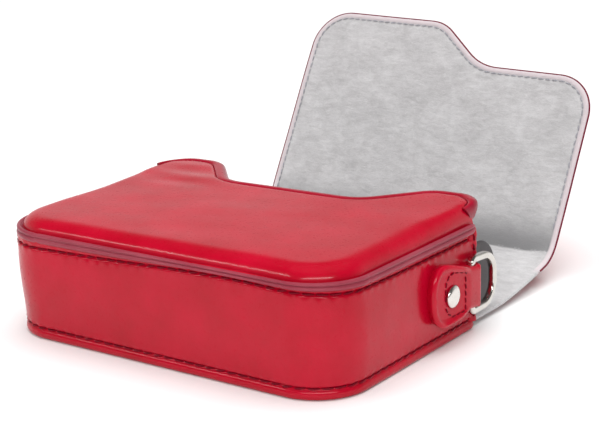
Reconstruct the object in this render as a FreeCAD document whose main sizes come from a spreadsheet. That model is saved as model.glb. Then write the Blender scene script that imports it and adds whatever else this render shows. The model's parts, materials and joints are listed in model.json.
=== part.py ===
"""Leather ever ready case for a compact camera, lying on its back with the flap open.

Millimetres. +X runs across the case, +Y from its bottom to its opening, +Z from the back to the front.
The origin is the centre of the flat face that the back rests on.
"""

import FreeCAD, Part  # noqa: E401  FreeCAD has to come first
import math
import os

import Sketcher
from FreeCAD import Placement, Rotation, Vector

doc = FreeCAD.newDocument("ever_ready_case")

# ---------------------------------------------------------------- driving dimensions

SIZES = [
    ("body_width", 118.0),      # outside of the side walls
    ("body_height", 75.0),      # bottom edge to the walls' opening edge
    ("corner_radius", 16.0),    # bottom corners of the side wall
    ("leather", 1.2),
    ("board", 0.8),
    ("lining", 0.6),
    ("wall_top", 31.0),         # height of the side wall's front edge above the rest face
    ("back_inset", 0.6),        # the back sits this far inside the wall's outline
    ("welt_width", 2.8),
    ("flange", 1.0),            # thickness of the piping's sewn flange
    ("flange_width", 3.0),
    ("piping_radius", 1.5),
    ("piping_reach", 0.4),      # bead centre outside the wall's face
    ("front_rise", 5.2),        # front panel's padded height above the flange
    ("front_inset", 1.05),
    ("front_roll", 3.6),        # radius of the padded edge
    ("foam_roll", 2.6),
    ("lip_top", 46.5),          # how far the front's two lobes reach, from the origin
    ("lobe_radius", 8.5),
    ("lobe_corner_x", 40.0),    # where a lobe starts to fall into the scoop
    ("scoop_depth", 18.0),
    ("scoop_run", 16.0),
    ("scoop_radius", 11.0),
    ("collar_width", 4.0),
    ("collar_drop", 0.5),       # collar's face below the padded panel's face
    ("binding", 0.7),
    ("binding_reach", 2.4),
    ("ear_leather", 1.2),
    ("ear_start", 31.0),
    ("ear_end", 57.0),
    ("ear_bottom", 3.0),
    ("ear_width", 23.0),
    ("ear_radius", 11.2),
    ("crease_back", 57.5),      # first fold line, from the origin
    ("flap_width", 116.6),
    ("fold_gap", 0.2),
    ("strip_length", 36.0),     # flap strip that covers the case's depth
    ("strip_tilt", 7.7),        # how far the open strip lifts off the surface
    ("flap_lean", 29.5),        # open flap's lean back from upright
    ("flap_long", 78.0),        # flap's longer side
    ("flap_short", 61.3),       # flap's shorter side
    ("flap_step_left", -5.5),
    ("flap_step_right", 12.5),
    ("flap_step_radius", 14.0),
    ("flap_corner_radius", 13.5),
    ("magnet_radius", 5.0),
    ("magnet_x", 34.0),
    ("magnet_long", 66.0),      # magnet's distance from the second fold, long side
    ("magnet_short", 49.0),     # and on the short side
    ("tab_thickness", 4.8),
    ("tab_level", 15.5),        # height of the strap tab's centre line
    ("tab_start", 8.0),
    ("tab_broad", 11.0),        # half width at the sewn end
    ("tab_narrow", 6.4),        # half width at the ring
    ("tab_radius", 6.0),
    ("tab_neck", 3.5),          # straight length beside the ring's bar
    ("tab_neck_radius", 8.0),
    ("tab_nose", 1.2),          # how far past the bar the loop turns back
    ("tab_edge", 1.0),
    ("ring_wire", 1.15),        # D ring's wire radius
    ("ring_play", 0.1),
    ("ring_bar_y", 30.5),       # D ring's straight bar, from the origin
    ("ring_half", 7.9),         # half the ring's width, on the wire's centre line
    ("ring_arm", 5.3),
    ("ring_corner", 1.5),
    ("rivet_y", 18.3),
    ("rivet_cap", 3.9),
    ("rivet_dome", 1.1),
    ("rivet_shank", 1.6),
    ("rivet_base", 4.2),
    ("thread", 0.35),           # thread radius
    ("thread_gap", 0.02),
    ("back_seam", 3.4),         # height of the stitch line at the back edge
    ("front_seam", 28.9),       # height of the stitch line under the piping
    ("flap_seam", 2.6),         # stitch line in from the flap's edge
    ("tab_seam", 5.2),
]

sheet = doc.addObject("Spreadsheet::Sheet", "sizes")
for row, (alias, number) in enumerate(SIZES, start=1):
    sheet.set(f"A{row}", alias)
    sheet.set(f"B{row}", str(number))
    sheet.setAlias(f"B{row}", alias)
doc.recompute()

# Levels and lines that several pieces share, as expressions on the sheet.
WALL = "(sizes.leather + sizes.board + sizes.lining)"
SIDE = "(sizes.body_width / 2)"
BOTTOM = "(-sizes.body_height / 2)"
OPENING = "(sizes.body_height / 2)"
FLANGE_TOP = "(sizes.wall_top + sizes.flange)"
FRONT_TOP = f"({FLANGE_TOP} + sizes.front_rise)"
TAB_FACE = f"({SIDE} + sizes.tab_thickness)"
TAB_MIDDLE = f"({SIDE} + sizes.tab_thickness / 2)"
ROLES = {"XY": "XY_Plane", "XZ": "XZ_Plane", "YZ": "YZ_Plane"}


def value(expression):
    """The number that an expression on the sheet works out to."""
    return float(sheet.evalExpression(expression))


# ---------------------------------------------------------------- sketches and features


def new_body(label):
    body = doc.addObject("PartDesign::Body", label)
    body.Label = label
    return body


def new_sketch(body, name, plane="XY", offset=None):
    """A sketch on one of the body's origin planes. Offset runs along the plane's normal."""
    sketch = body.newObject("Sketcher::SketchObject", f"{body.Name}_{name}")
    role = ROLES[plane]
    support = next(f for f in body.Origin.OriginFeatures if f.Role == role)
    sketch.AttachmentSupport = [(support, "")]
    sketch.MapMode = "FlatFace"
    if offset:
        sketch.setExpression("AttachmentOffset.Base.z", offset)
    return sketch


def point_rules(geometry, position, x, y):
    """Dimensions of a point from the sketch's origin, each with its expression."""
    across = Sketcher.Constraint("DistanceX", -1, 1, geometry, position, value(x))
    up = Sketcher.Constraint("DistanceY", -1, 1, geometry, position, value(y))
    return [(across, x), (up, y)]


def apply_rules(sketch, rules):
    """Adds the constraints in one go, then binds the ones that have an expression."""
    first = sketch.ConstraintCount
    sketch.addConstraint([constraint for constraint, _ in rules])
    for index, (_, expression) in enumerate(rules, start=first):
        if expression:
            sketch.setExpression(f"Constraints[{index}]", expression)


def draw(sketch, corners, closed=True):
    """Straight sides through corners of (x, y, radius) expressions, rounded where there is a radius."""
    spots = [Vector(value(x), value(y), 0) for x, y, _ in corners]
    count = len(corners)
    ends = []
    for i, (_, _, radius) in enumerate(corners):
        reach = 0
        before = (spots[i - 1] - spots[i]).normalize()
        after = (spots[(i + 1) % count] - spots[i]).normalize()
        if radius:
            reach = value(radius) / math.tan(before.getAngle(after) / 2)
        ends.append((spots[i] + before * reach, spots[i] + after * reach))
    sides = []
    for i in range(count if closed else count - 1):
        sides.append(sketch.addGeometry(Part.LineSegment(ends[i][1], ends[(i + 1) % count][0])))
    rules = []
    for i, (x, y, radius) in enumerate(corners):
        into, out = sides[i - 1], sides[i % len(sides)]
        if not closed and i == 0:
            rules += point_rules(out, 1, x, y)
        elif not closed and i == count - 1:
            rules += point_rules(into, 2, x, y)
        elif radius:
            rules += corner_rules(sketch, spots[i], ends[i], (into, out), corners[i])
        else:
            rules.append((Sketcher.Constraint("Coincident", into, 2, out, 1), None))
            rules += point_rules(out, 1, x, y)
    apply_rules(sketch, rules)


def corner_rules(sketch, spot, ends, sides, corner):
    """Rounds the corner between two sides with an arc, and keeps the sharp corner as a dimensioned point."""
    x, y, radius = corner
    into, out = sides
    size = value(radius)
    toward_middle = ((ends[0] + ends[1]) / 2 - spot).normalize()
    centre = spot + toward_middle * math.hypot(size, (ends[0] - spot).Length)
    turns_left = (spot - ends[0]).cross(ends[1] - spot).z > 0
    first, last = ends if turns_left else reversed(ends)
    angles = [math.atan2(end.y - centre.y, end.x - centre.x) for end in (first, last)]
    circle = Part.Circle(centre, Vector(0, 0, 1), size)
    arc = sketch.addGeometry(Part.ArcOfCircle(circle, angles[0], angles[1]))
    point = sketch.addGeometry(Part.Point(spot), True)
    begin, finish = (1, 2) if turns_left else (2, 1)
    return [
        (Sketcher.Constraint("Tangent", into, 2, arc, begin), None),
        (Sketcher.Constraint("Tangent", arc, finish, out, 1), None),
        (Sketcher.Constraint("Radius", arc, size), radius),
        (Sketcher.Constraint("PointOnObject", point, 1, into), None),
        (Sketcher.Constraint("PointOnObject", point, 1, out), None),
        *point_rules(point, 1, x, y),
    ]


def draw_circle(sketch, x, y, radius):
    """A circle whose centre and radius are bound to the sheet."""
    centre = Vector(value(x), value(y), 0)
    circle = sketch.addGeometry(Part.Circle(centre, Vector(0, 0, 1), value(radius)))
    size = (Sketcher.Constraint("Radius", circle, value(radius)), radius)
    apply_rules(sketch, [*point_rules(circle, 3, x, y), size])


def pad(body, sketch, length):
    """Raises the sketch along its plane's normal."""
    feature = body.newObject("PartDesign::Pad", f"{sketch.Name}_pad")
    feature.Profile = sketch
    feature.setExpression("Length", length)
    doc.recompute()
    return feature


def pocket_through(body, sketch):
    """Cuts the sketch right through the body, both ways."""
    feature = body.newObject("PartDesign::Pocket", f"{sketch.Name}_pocket")
    feature.Profile = sketch
    feature.Type = "ThroughAll"
    feature.Midplane = True
    before = body.Shape.Volume
    doc.recompute()
    if body.Shape.Volume >= before:
        raise RuntimeError(f"{feature.Name} cut nothing")
    return feature


def pipe(body, path, profile):
    """Sweeps the profile along the path."""
    feature = body.newObject("PartDesign::AdditivePipe", f"{path.Name}_pipe")
    feature.Profile = profile
    feature.Spine = path
    doc.recompute()
    return feature


def soften(body, wanted, radius):
    """Rounds the edges of the body's tip that wanted(edge) picks."""
    tip = body.Tip
    names = [f"Edge{i}" for i, edge in enumerate(tip.Shape.Edges, start=1) if wanted(edge)]
    if not names:
        raise RuntimeError(f"{body.Label} has no edge to round")
    feature = body.newObject("PartDesign::Fillet", f"{body.Name}_round")
    feature.Base = (tip, names)
    feature.setExpression("Radius", radius)
    doc.recompute()
    return feature


def block(label, corners, height, level=None, plane="XY"):
    """A body padded from one closed outline."""
    body = new_body(label)
    sketch = new_sketch(body, "outline", plane, level)
    draw(sketch, corners)
    pad(body, sketch, height)
    return body


def cut(label, base, *tools):
    """The base less the tools, which stay in the document as pieces of their own."""
    result = base
    for number, tool in enumerate(tools, start=1):
        less = doc.addObject("Part::Cut", f"{label}_less_{number}")
        less.Base = result
        less.Tool = tool
        result = less
    result.Label = label
    doc.recompute()
    return result


def mirrored(label, source):
    """The same piece on the other side of the case."""
    twin = doc.addObject("Part::Mirroring", label)
    twin.Label = label
    twin.Source = source
    twin.Normal = Vector(1, 0, 0)
    doc.recompute()
    return twin


# ---------------------------------------------------------------- outlines


def wall_corners(inset, top):
    """The side wall's outline drawn in by inset: rounded at the bottom corners, square at the top."""
    x = f"({SIDE} - {inset})"
    y = f"({BOTTOM} + {inset})"
    radius = f"(sizes.corner_radius - {inset})"
    return [(x, top, None), (x, y, radius), (f"-{x}", y, radius), (f"-{x}", top, None)]


def wall_band(label, inset, thickness, level, height, top):
    """A band that follows the side wall round the bottom, open at the top."""
    body = block(label, wall_corners(inset, top), height, level)
    inside = new_sketch(body, "inside", "XY", level)
    beyond = f"({top} + sizes.body_height)"
    draw(inside, wall_corners(f"({inset} + {thickness})", beyond))
    pocket_through(body, inside)
    return body


def front_corners(inset, lip, bottom=None):
    """The front panel's outline. Inset draws in its sides and bottom, lip draws in its lobes and scoop."""
    side = f"({SIDE} - {inset})"
    bottom = bottom or f"({BOTTOM} + {inset})"
    lobe_side = f"({SIDE} - sizes.back_inset - {lip})"
    shift = f"{lip} * tan(atan(sizes.scoop_depth / sizes.scoop_run) / 2)"
    lobe_y = f"(sizes.lip_top - {lip})"
    scoop_y = f"(sizes.lip_top - sizes.scoop_depth - {lip})"
    lobe_x = f"(sizes.lobe_corner_x + {shift})"
    scoop_x = f"(sizes.lobe_corner_x - sizes.scoop_run + {shift})"
    right = [(side, bottom, f"(sizes.corner_radius - {inset})")]
    if abs(value(f"{side} - {lobe_side}")) > 1e-6:
        right += [(side, OPENING, None), (lobe_side, OPENING, None)]
    right += [
        (lobe_side, lobe_y, f"(sizes.lobe_radius - {lip})"),
        (lobe_x, lobe_y, f"(sizes.lobe_radius - {lip})"),
        (scoop_x, scoop_y, f"(sizes.scoop_radius + {lip})"),
    ]
    left = [(f"-{x}", y, radius) for x, y, radius in reversed(right)]
    return right + left


def flap_corners(inset, hinge=None):
    """The flap's outline in its own plane, with y counted from the fold. Inset draws in all but the hinge."""
    side = f"(sizes.flap_width / 2 - {inset})"
    hinge = hinge or "sizes.fold_gap"
    rise = "(sizes.flap_long - sizes.flap_short)"
    run = "(sizes.flap_step_right - sizes.flap_step_left)"
    shift = f"{inset} * tan(atan({rise} / {run}) / 2)"
    corner = f"(sizes.flap_corner_radius - {inset})"
    short = f"(sizes.flap_short - {inset})"
    long = f"(sizes.flap_long - {inset})"
    return [
        (side, hinge, None),
        (side, short, corner),
        (f"(sizes.flap_step_right - {shift})", short, f"(sizes.flap_step_radius + {inset})"),
        (f"(sizes.flap_step_left - {shift})", long, f"(sizes.flap_step_radius - {inset})"),
        (f"-{side}", long, corner),
        (f"-{side}", hinge, None),
    ]


def lies_at(edge, axis, level):
    """True where every end of the edge is at that level along the axis, 0 to 2."""
    return all(abs(v.Point[axis] - level) < 1e-5 for v in edge.Vertexes)


# ---------------------------------------------------------------- back


def make_back():
    """Leather, welt, stiffener and lining of the back, up to the first fold."""
    fold = "(sizes.crease_back - sizes.fold_gap)"
    leather = block("back_leather", wall_corners("sizes.back_inset", fold), "sizes.leather")
    soften(
        leather,
        lambda e: lies_at(e, 2, 0) and not lies_at(e, 1, value(fold)),
        "sizes.leather / 2",
    )
    rim = f"({WALL} - sizes.leather)"
    welt = wall_band("back_welt", "(sizes.back_inset / 2)", "sizes.welt_width", "sizes.leather", rim, OPENING)
    inner = f"({SIDE} - sizes.back_inset / 2 - sizes.welt_width)"
    foot = f"({BOTTOM} + sizes.back_inset / 2 + sizes.welt_width)"
    radius = "(sizes.corner_radius - sizes.back_inset / 2 - sizes.welt_width)"
    wide = "(sizes.flap_width / 2)"
    half = [(inner, foot, radius), (inner, OPENING, None), (wide, OPENING, None), (wide, fold, None)]
    outline = half + [(f"-{x}", y, r) for x, y, r in reversed(half)]
    board = block("back_board", outline, "sizes.board", "sizes.leather")
    lining = block("back_lining", outline, "sizes.lining", "sizes.leather + sizes.board")
    return [leather, welt, board, lining]


# ---------------------------------------------------------------- side wall


def make_wall():
    """The three layers that run round the sides and the bottom, before the rivets are let through."""
    top = f"({OPENING} - sizes.binding)"
    height = f"(sizes.wall_top - {WALL})"
    layers = []
    inset = "0"
    for name in ("leather", "board", "lining"):
        layers.append(wall_band(f"wall_{name}_blank", inset, f"sizes.{name}", WALL, height, top))
        inset = f"({inset} + sizes.{name})"
    return layers


def make_binding():
    """Leather strip folded over the opening edge of the right wall."""
    outer = f"({SIDE} + sizes.binding)"
    inner = f"({SIDE} - {WALL} - sizes.binding)"
    face = SIDE
    inside = f"({SIDE} - {WALL})"
    end = f"({OPENING} - sizes.binding)"
    start = f"({OPENING} - sizes.binding_reach)"
    corners = [
        (outer, start, None),
        (outer, OPENING, None),
        (inner, OPENING, None),
        (inner, start, None),
        (inside, start, None),
        (inside, end, None),
        (face, end, None),
        (face, start, None),
    ]
    return block("wall_binding_right", corners, f"(sizes.wall_top - {WALL})", WALL)


def make_ear():
    """Stiff rounded ear inside the right wall that fills the gap beside the camera when the flap is shut."""
    top = "(sizes.ear_bottom + sizes.ear_width)"
    corners = [
        ("sizes.ear_start", "sizes.ear_bottom", None),
        ("sizes.ear_end", "sizes.ear_bottom", "sizes.ear_radius"),
        ("sizes.ear_end", top, "sizes.ear_radius"),
        ("sizes.ear_start", top, None),
    ]
    face = f"({SIDE} - {WALL} - sizes.binding - sizes.ear_leather)"
    return block("side_ear_right", corners, "sizes.ear_leather", face, "YZ")


def make_piping():
    """Sewn flange and round bead between the wall and the front panel."""
    top = f"({OPENING} - sizes.binding_reach)"
    body = wall_band("front_piping", "0", "sizes.flange_width", "sizes.wall_top", "sizes.flange", top)
    level = "(sizes.wall_top + sizes.flange / 2)"
    path = new_sketch(body, "path", "XY", level)
    reach = "(-sizes.piping_reach)"
    draw(path, wall_corners(reach, top), closed=False)
    profile = new_sketch(body, "bead", "XZ", f"-{top}")
    draw_circle(profile, f"({SIDE} + sizes.piping_reach)", level, "sizes.piping_radius")
    pipe(body, path, profile)
    return body


# ---------------------------------------------------------------- front panel


def make_front(keepers):
    """Lining, stiffener, foam, padded leather and edge collar of the front panel."""
    lip = "sizes.collar_width"
    lining_level = f"({FLANGE_TOP} - sizes.lining)"
    lining = block("front_lining", front_corners("sizes.flange_width", lip), "sizes.lining", lining_level)
    tucked = "(sizes.front_inset + sizes.leather)"
    plate = block("front_board_blank", front_corners(tucked, lip), "sizes.board", FLANGE_TOP)
    board = cut("front_board", plate, *keepers)
    foam_height = "(sizes.front_rise - sizes.board - sizes.leather)"
    foam_level = f"({FLANGE_TOP} + sizes.board)"
    foam = block("front_foam", front_corners(tucked, lip), foam_height, foam_level)
    soften(foam, front_rim(tucked, f"{foam_level} + {foam_height}"), "sizes.foam_roll")
    outline = front_corners("sizes.front_inset", lip)
    cover = block("front_leather_blank", outline, "sizes.front_rise", FLANGE_TOP)
    soften(cover, front_rim("sizes.front_inset", FRONT_TOP), "sizes.front_roll")
    leather = cut("front_leather", cover, foam, plate)
    collar = make_collar(lining_level)
    return [lining, board, foam, leather, collar]


def front_rim(inset, top):
    """Picks the top edges along the front panel's sides, bottom corners and bottom."""
    level = value(top)
    side = value(f"{SIDE} - {inset}")
    foot = value(f"{BOTTOM} + {inset}")
    corner = value(f"sizes.corner_radius - {inset}")

    def wanted(edge):
        middle = edge.valueAt((edge.FirstParameter + edge.LastParameter) / 2)
        along_side = lies_at(edge, 0, side) or lies_at(edge, 0, -side)
        in_corner = middle.y < foot + corner and abs(middle.x) > side - corner
        return lies_at(edge, 2, level) and (along_side or lies_at(edge, 1, foot) or in_corner)

    return wanted


def make_collar(level):
    """Leather edging round the two lobes and the scoop of the front panel."""
    height = f"({FRONT_TOP} - sizes.collar_drop - {level})"
    body = block("front_collar", front_corners("sizes.back_inset", "0"), height, level)
    inside = new_sketch(body, "inside", "XY", level)
    below = f"({BOTTOM} - sizes.collar_width)"
    draw(inside, front_corners("(-sizes.collar_width)", "sizes.collar_width", below))
    pocket_through(body, inside)
    return body


# ---------------------------------------------------------------- closure


def make_disc(label, x, y, level):
    """A flat round magnet or keeper, as thick as the stiffener that holds it."""
    disc = doc.addObject("Part::Cylinder", label)
    disc.Label = label
    disc.setExpression("Radius", "sizes.magnet_radius")
    disc.setExpression("Height", "sizes.board")
    disc.setExpression("Placement.Base.x", x)
    disc.setExpression("Placement.Base.y", y)
    disc.setExpression("Placement.Base.z", level)
    doc.recompute()
    return disc


# ---------------------------------------------------------------- flap


def fold_over(piece, y, z, angle):
    """Stands a piece that was drawn flat on its fold line, turned up about X."""
    piece.Placement = Placement(Vector(0, 0, 0), Rotation(Vector(1, 0, 0), value(angle)))
    piece.setExpression("Placement.Base.y", y)
    piece.setExpression("Placement.Base.z", z)
    piece.setExpression("Placement.Rotation.Angle", angle)
    doc.recompute()
    return piece


STRIP_FOLD = ("sizes.crease_back", WALL)
FLAP_FOLD = (
    "sizes.crease_back + sizes.strip_length * cos(sizes.strip_tilt * 1 deg)",
    f"{WALL} + sizes.strip_length * sin(sizes.strip_tilt * 1 deg)",
)


def flap_layers():
    """(name, level of the layer's outer side below the fold line, thickness)."""
    return [
        ("lining", "-sizes.lining", "sizes.lining"),
        ("board", "-(sizes.lining + sizes.board)", "sizes.board"),
        ("leather", f"-{WALL}", "sizes.leather"),
    ]


def make_strip():
    """The flap's strip that covers the depth of the case."""
    side = "(sizes.flap_width / 2)"
    far = "(sizes.strip_length - sizes.fold_gap)"
    near = "sizes.fold_gap"
    corners = [(side, near, None), (side, far, None), (f"-{side}", far, None), (f"-{side}", near, None)]
    made = []
    for name, level, thickness in flap_layers():
        piece = block(f"strip_{name}", corners, thickness, level)
        made.append(fold_over(piece, *STRIP_FOLD, "sizes.strip_tilt * 1 deg"))
    return made


def make_flap():
    """The flap that closes over the front, with its magnets let into the stiffener."""
    upright = "(90 - sizes.flap_lean) * 1 deg"
    board_level = "-(sizes.lining + sizes.board)"
    seats = {
        "left": make_disc("magnet_seat_left", "-sizes.magnet_x", "sizes.magnet_long", board_level),
        "right": make_disc("magnet_seat_right", "sizes.magnet_x", "sizes.magnet_short", board_level),
    }
    made = []
    for name, level, thickness in flap_layers():
        label = f"flap_{name}"
        if name == "board":
            piece = cut(label, block(f"{label}_blank", flap_corners("0"), thickness, level), *seats.values())
        else:
            piece = block(label, flap_corners("0"), thickness, level)
        made.append(fold_over(piece, *FLAP_FOLD, upright))
    for side, seat in seats.items():
        magnet = doc.addObject("Part::Compound", f"flap_magnet_{side}")
        magnet.Label = f"flap_magnet_{side}"
        magnet.Links = [seat]
        made.append(fold_over(magnet, *FLAP_FOLD, upright))
    made.append(fold_over(make_flap_thread(), *FLAP_FOLD, upright))
    return made


def make_flap_thread():
    """Stitch line on the lining side, along the flap's free edges."""
    body = new_body("flap_thread")
    level = "(sizes.thread + sizes.thread_gap)"
    start = "(3 * sizes.fold_gap)"
    path = new_sketch(body, "path", "XY", level)
    draw(path, flap_corners("sizes.flap_seam", start), closed=False)
    profile = new_sketch(body, "thread", "XZ", f"-{start}")
    draw_circle(profile, "(sizes.flap_width / 2 - sizes.flap_seam)", level, "sizes.thread")
    pipe(body, path, profile)
    return body


# ---------------------------------------------------------------- strap tab, ring and rivet


def make_tab():
    """Folded leather tab on the right wall, with the ring's bar in its loop, not yet pierced for the rivet."""
    low = "(sizes.tab_level - sizes.tab_broad)"
    high = "(sizes.tab_level + sizes.tab_broad)"
    loop_low = "(sizes.tab_level - sizes.tab_narrow)"
    loop_high = "(sizes.tab_level + sizes.tab_narrow)"
    neck = "(sizes.ring_bar_y - sizes.tab_neck)"
    nose = "(sizes.ring_bar_y + sizes.tab_nose)"
    corners = [
        ("sizes.tab_start", low, "sizes.tab_radius"),
        (neck, loop_low, "sizes.tab_neck_radius"),
        (nose, loop_low, None),
        (nose, loop_high, None),
        (neck, loop_high, "sizes.tab_neck_radius"),
        ("sizes.tab_start", high, "sizes.tab_radius"),
    ]
    body = block("strap_tab_blank", corners, "sizes.tab_thickness", SIDE, "YZ")
    face = value(TAB_FACE)
    nose_y = value(nose)
    soften(body, lambda e: lies_at(e, 0, face) and not lies_at(e, 1, nose_y), "sizes.tab_edge")
    loop = new_sketch(body, "loop", "XY", loop_low)
    draw_circle(loop, TAB_MIDDLE, nose, "(sizes.tab_thickness / 2 - 0.01)")
    pad(body, loop, "(2 * sizes.tab_narrow)")
    hole = new_sketch(body, "bar_hole", "XY")
    draw_circle(hole, TAB_MIDDLE, "sizes.ring_bar_y", "(sizes.ring_wire + sizes.ring_play)")
    pocket_through(body, hole)
    return body


def make_ring():
    """D ring of round wire, its straight bar running up through the tab's loop."""
    body = new_body("d_ring_right")
    low = "(sizes.tab_level - sizes.ring_half)"
    high = "(sizes.tab_level + sizes.ring_half)"
    bow = "(sizes.ring_half - 0.01)"
    far = "(sizes.ring_bar_y + sizes.ring_arm + sizes.ring_half)"
    path = new_sketch(body, "path", "YZ", TAB_MIDDLE)
    corners = [
        ("sizes.ring_bar_y", low, "sizes.ring_corner"),
        (far, low, bow),
        (far, high, bow),
        ("sizes.ring_bar_y", high, "sizes.ring_corner"),
    ]
    draw(path, corners)
    profile = new_sketch(body, "wire", "XY", "sizes.tab_level")
    draw_circle(profile, TAB_MIDDLE, "sizes.ring_bar_y", "sizes.ring_wire")
    pipe(body, path, profile)
    return body


def make_rivet():
    """Cap and shank in one piece, through the tab and the wall."""
    body = new_body("rivet_right")
    head = new_sketch(body, "head", "YZ", TAB_FACE)
    draw_circle(head, "sizes.rivet_y", "sizes.tab_level", "sizes.rivet_cap")
    pad(body, head, "sizes.rivet_dome")
    face = value(f"{TAB_FACE} + sizes.rivet_dome")
    soften(body, lambda e: lies_at(e, 0, face), "(sizes.rivet_dome * 0.8)")
    inside = f"({SIDE} - {WALL})"
    shank = new_sketch(body, "shank", "YZ", inside)
    draw_circle(shank, "sizes.rivet_y", "sizes.tab_level", "sizes.rivet_shank")
    pad(body, shank, f"({TAB_FACE} - {inside})")
    return body


def make_rivet_base():
    """Round base plate of the rivet, inside the wall."""
    body = new_body("rivet_base_right")
    plate = new_sketch(body, "plate", "YZ", f"({SIDE} - {WALL} - sizes.board)")
    draw_circle(plate, "sizes.rivet_y", "sizes.tab_level", "sizes.rivet_base")
    pad(body, plate, "sizes.board")
    return body


# ---------------------------------------------------------------- stitch lines


def make_wall_thread(label, level):
    """A line of thread round the outside of the wall at that height."""
    body = new_body(label)
    out = "(sizes.thread + sizes.thread_gap)"
    top = f"({OPENING} - sizes.binding_reach)"
    path = new_sketch(body, "path", "XY", level)
    draw(path, wall_corners(f"(-{out})", top), closed=False)
    profile = new_sketch(body, "thread", "XZ", f"-{top}")
    draw_circle(profile, f"({SIDE} + {out})", level, "sizes.thread")
    pipe(body, path, profile)
    return body


def make_tab_thread():
    """Closed D of thread round the rivet on the tab's face."""
    body = new_body("tab_thread_right")
    level = f"({TAB_FACE} + sizes.thread + sizes.thread_gap)"
    near = "(sizes.rivet_y - sizes.tab_seam)"
    far = "(sizes.rivet_y + sizes.tab_seam)"
    low = "(sizes.tab_level - sizes.tab_seam)"
    high = "(sizes.tab_level + sizes.tab_seam)"
    round_end = "(sizes.tab_seam - 0.2)"
    corners = [(near, low, round_end), (far, low, "sizes.ring_corner"), (far, high, "sizes.ring_corner")]
    corners.append((near, high, round_end))
    path = new_sketch(body, "path", "YZ", level)
    draw(path, corners)
    profile = new_sketch(body, "thread", "XY", "sizes.tab_level")
    draw_circle(profile, level, far, "sizes.thread")
    pipe(body, path, profile)
    return body


# ---------------------------------------------------------------- the case


def make_case():
    """Every piece of the case, as the objects whose shapes are written out."""
    pieces = make_back()
    blanks = make_wall()
    piping = make_piping()
    keepers = [
        make_disc("keeper_left", "-sizes.magnet_x", "sizes.crease_back - sizes.magnet_long", FLANGE_TOP),
        make_disc("keeper_right", "sizes.magnet_x", "sizes.crease_back - sizes.magnet_short", FLANGE_TOP),
    ]
    rivet = make_rivet()
    rivet_left = mirrored("rivet_left", rivet)
    for blank, name in zip(blanks, ("leather", "board", "lining")):
        tools = [rivet, rivet_left] + ([piping] if name == "leather" else [])
        pieces.append(cut(f"wall_{name}", blank, *tools))
    tab = cut("strap_tab_right", make_tab(), rivet)
    pairs = [make_binding(), make_ear(), tab, make_ring(), make_rivet_base(), make_tab_thread()]
    for piece in pairs:
        pieces += [piece, mirrored(piece.Label.replace("_right", "_left"), piece)]
    pieces += [piping, rivet, rivet_left, *keepers]
    pieces += make_front(keepers)
    pieces += make_strip()
    pieces += make_flap()
    pieces.append(make_wall_thread("back_seam_thread", "sizes.back_seam"))
    pieces.append(make_wall_thread("front_seam_thread", "sizes.front_seam"))
    return pieces


def write(pieces):
    """Checks every object and shape, then writes one STEP file for each piece."""
    doc.recompute()
    failed = [o.Label for o in doc.Objects if {"Invalid", "Error"} & set(o.State)]
    if failed:
        raise RuntimeError(f"failed to build: {failed}")
    os.makedirs("parts", exist_ok=True)
    for piece in pieces:
        shape = piece.Shape
        if shape.isNull() or not shape.isValid() or not shape.Solids:
            raise RuntimeError(f"{piece.Label} has no valid solid")
        shape.exportStep(os.path.join("parts", f"{piece.Label}.step"))
        print(f"{piece.Label}: {len(shape.Solids)} solid, {shape.Volume:.1f} mm3")


write(make_case())
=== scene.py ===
"""Looks of the leather ever ready case: detailed leather, lining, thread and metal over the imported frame.

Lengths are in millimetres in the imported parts' own frame, and build() turns them into metres. +X runs
across the case, +Y from its foot to its opening, +Z from the back that it lies on up to the padded front.
"""

import json
import math

import bmesh
import bpy
import numpy as np
from mathutils import Matrix, Vector, noise
from mathutils.geometry import delaunay_2d_cdt


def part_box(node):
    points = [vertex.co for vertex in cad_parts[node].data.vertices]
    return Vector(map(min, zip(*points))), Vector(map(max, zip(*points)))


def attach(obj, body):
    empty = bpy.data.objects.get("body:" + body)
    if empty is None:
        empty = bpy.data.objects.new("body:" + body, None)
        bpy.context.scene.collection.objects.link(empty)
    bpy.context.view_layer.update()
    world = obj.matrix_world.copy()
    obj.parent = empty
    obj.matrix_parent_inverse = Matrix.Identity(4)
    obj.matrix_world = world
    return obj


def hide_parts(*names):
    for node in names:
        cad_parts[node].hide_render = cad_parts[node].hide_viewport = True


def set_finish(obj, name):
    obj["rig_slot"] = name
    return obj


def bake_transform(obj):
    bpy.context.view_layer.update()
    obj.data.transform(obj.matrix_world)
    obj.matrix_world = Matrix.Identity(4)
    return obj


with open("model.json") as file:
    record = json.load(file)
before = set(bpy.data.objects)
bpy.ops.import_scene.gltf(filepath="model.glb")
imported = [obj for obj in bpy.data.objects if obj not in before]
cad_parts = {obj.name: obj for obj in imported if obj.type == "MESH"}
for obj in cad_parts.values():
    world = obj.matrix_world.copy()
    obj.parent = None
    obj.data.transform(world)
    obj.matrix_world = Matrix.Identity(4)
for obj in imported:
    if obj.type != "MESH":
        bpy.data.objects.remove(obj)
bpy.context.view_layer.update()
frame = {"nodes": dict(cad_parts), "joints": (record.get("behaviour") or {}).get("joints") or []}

MM = 0.001
SEED = Vector((3.1, 7.7, 1.3))

# ---------------------------------------------------------------- camera

CAMERA_PLACE = (273.2, -353.2, 157.4)
CAMERA_LOOK = (-0.5579, 0.7874, -0.2622)
CAMERA_ROLL = -1.31
CAMERA_LENS = 94.74
SENSOR = 36.0


def add_camera():
    """A long lens, low in front of the right foot corner."""
    data = bpy.data.cameras.new("camera")
    data.lens = CAMERA_LENS
    data.sensor_width = SENSOR
    camera = bpy.data.objects.new("camera", data)
    bpy.context.scene.collection.objects.link(camera)
    aim = Vector(CAMERA_LOOK).to_track_quat("-Z", "Y").to_matrix().to_4x4()
    roll = Matrix.Rotation(math.radians(CAMERA_ROLL), 4, "Z")
    camera.matrix_world = Matrix.Translation(Vector(CAMERA_PLACE) * MM) @ aim @ roll
    bpy.context.scene.camera = camera


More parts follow.
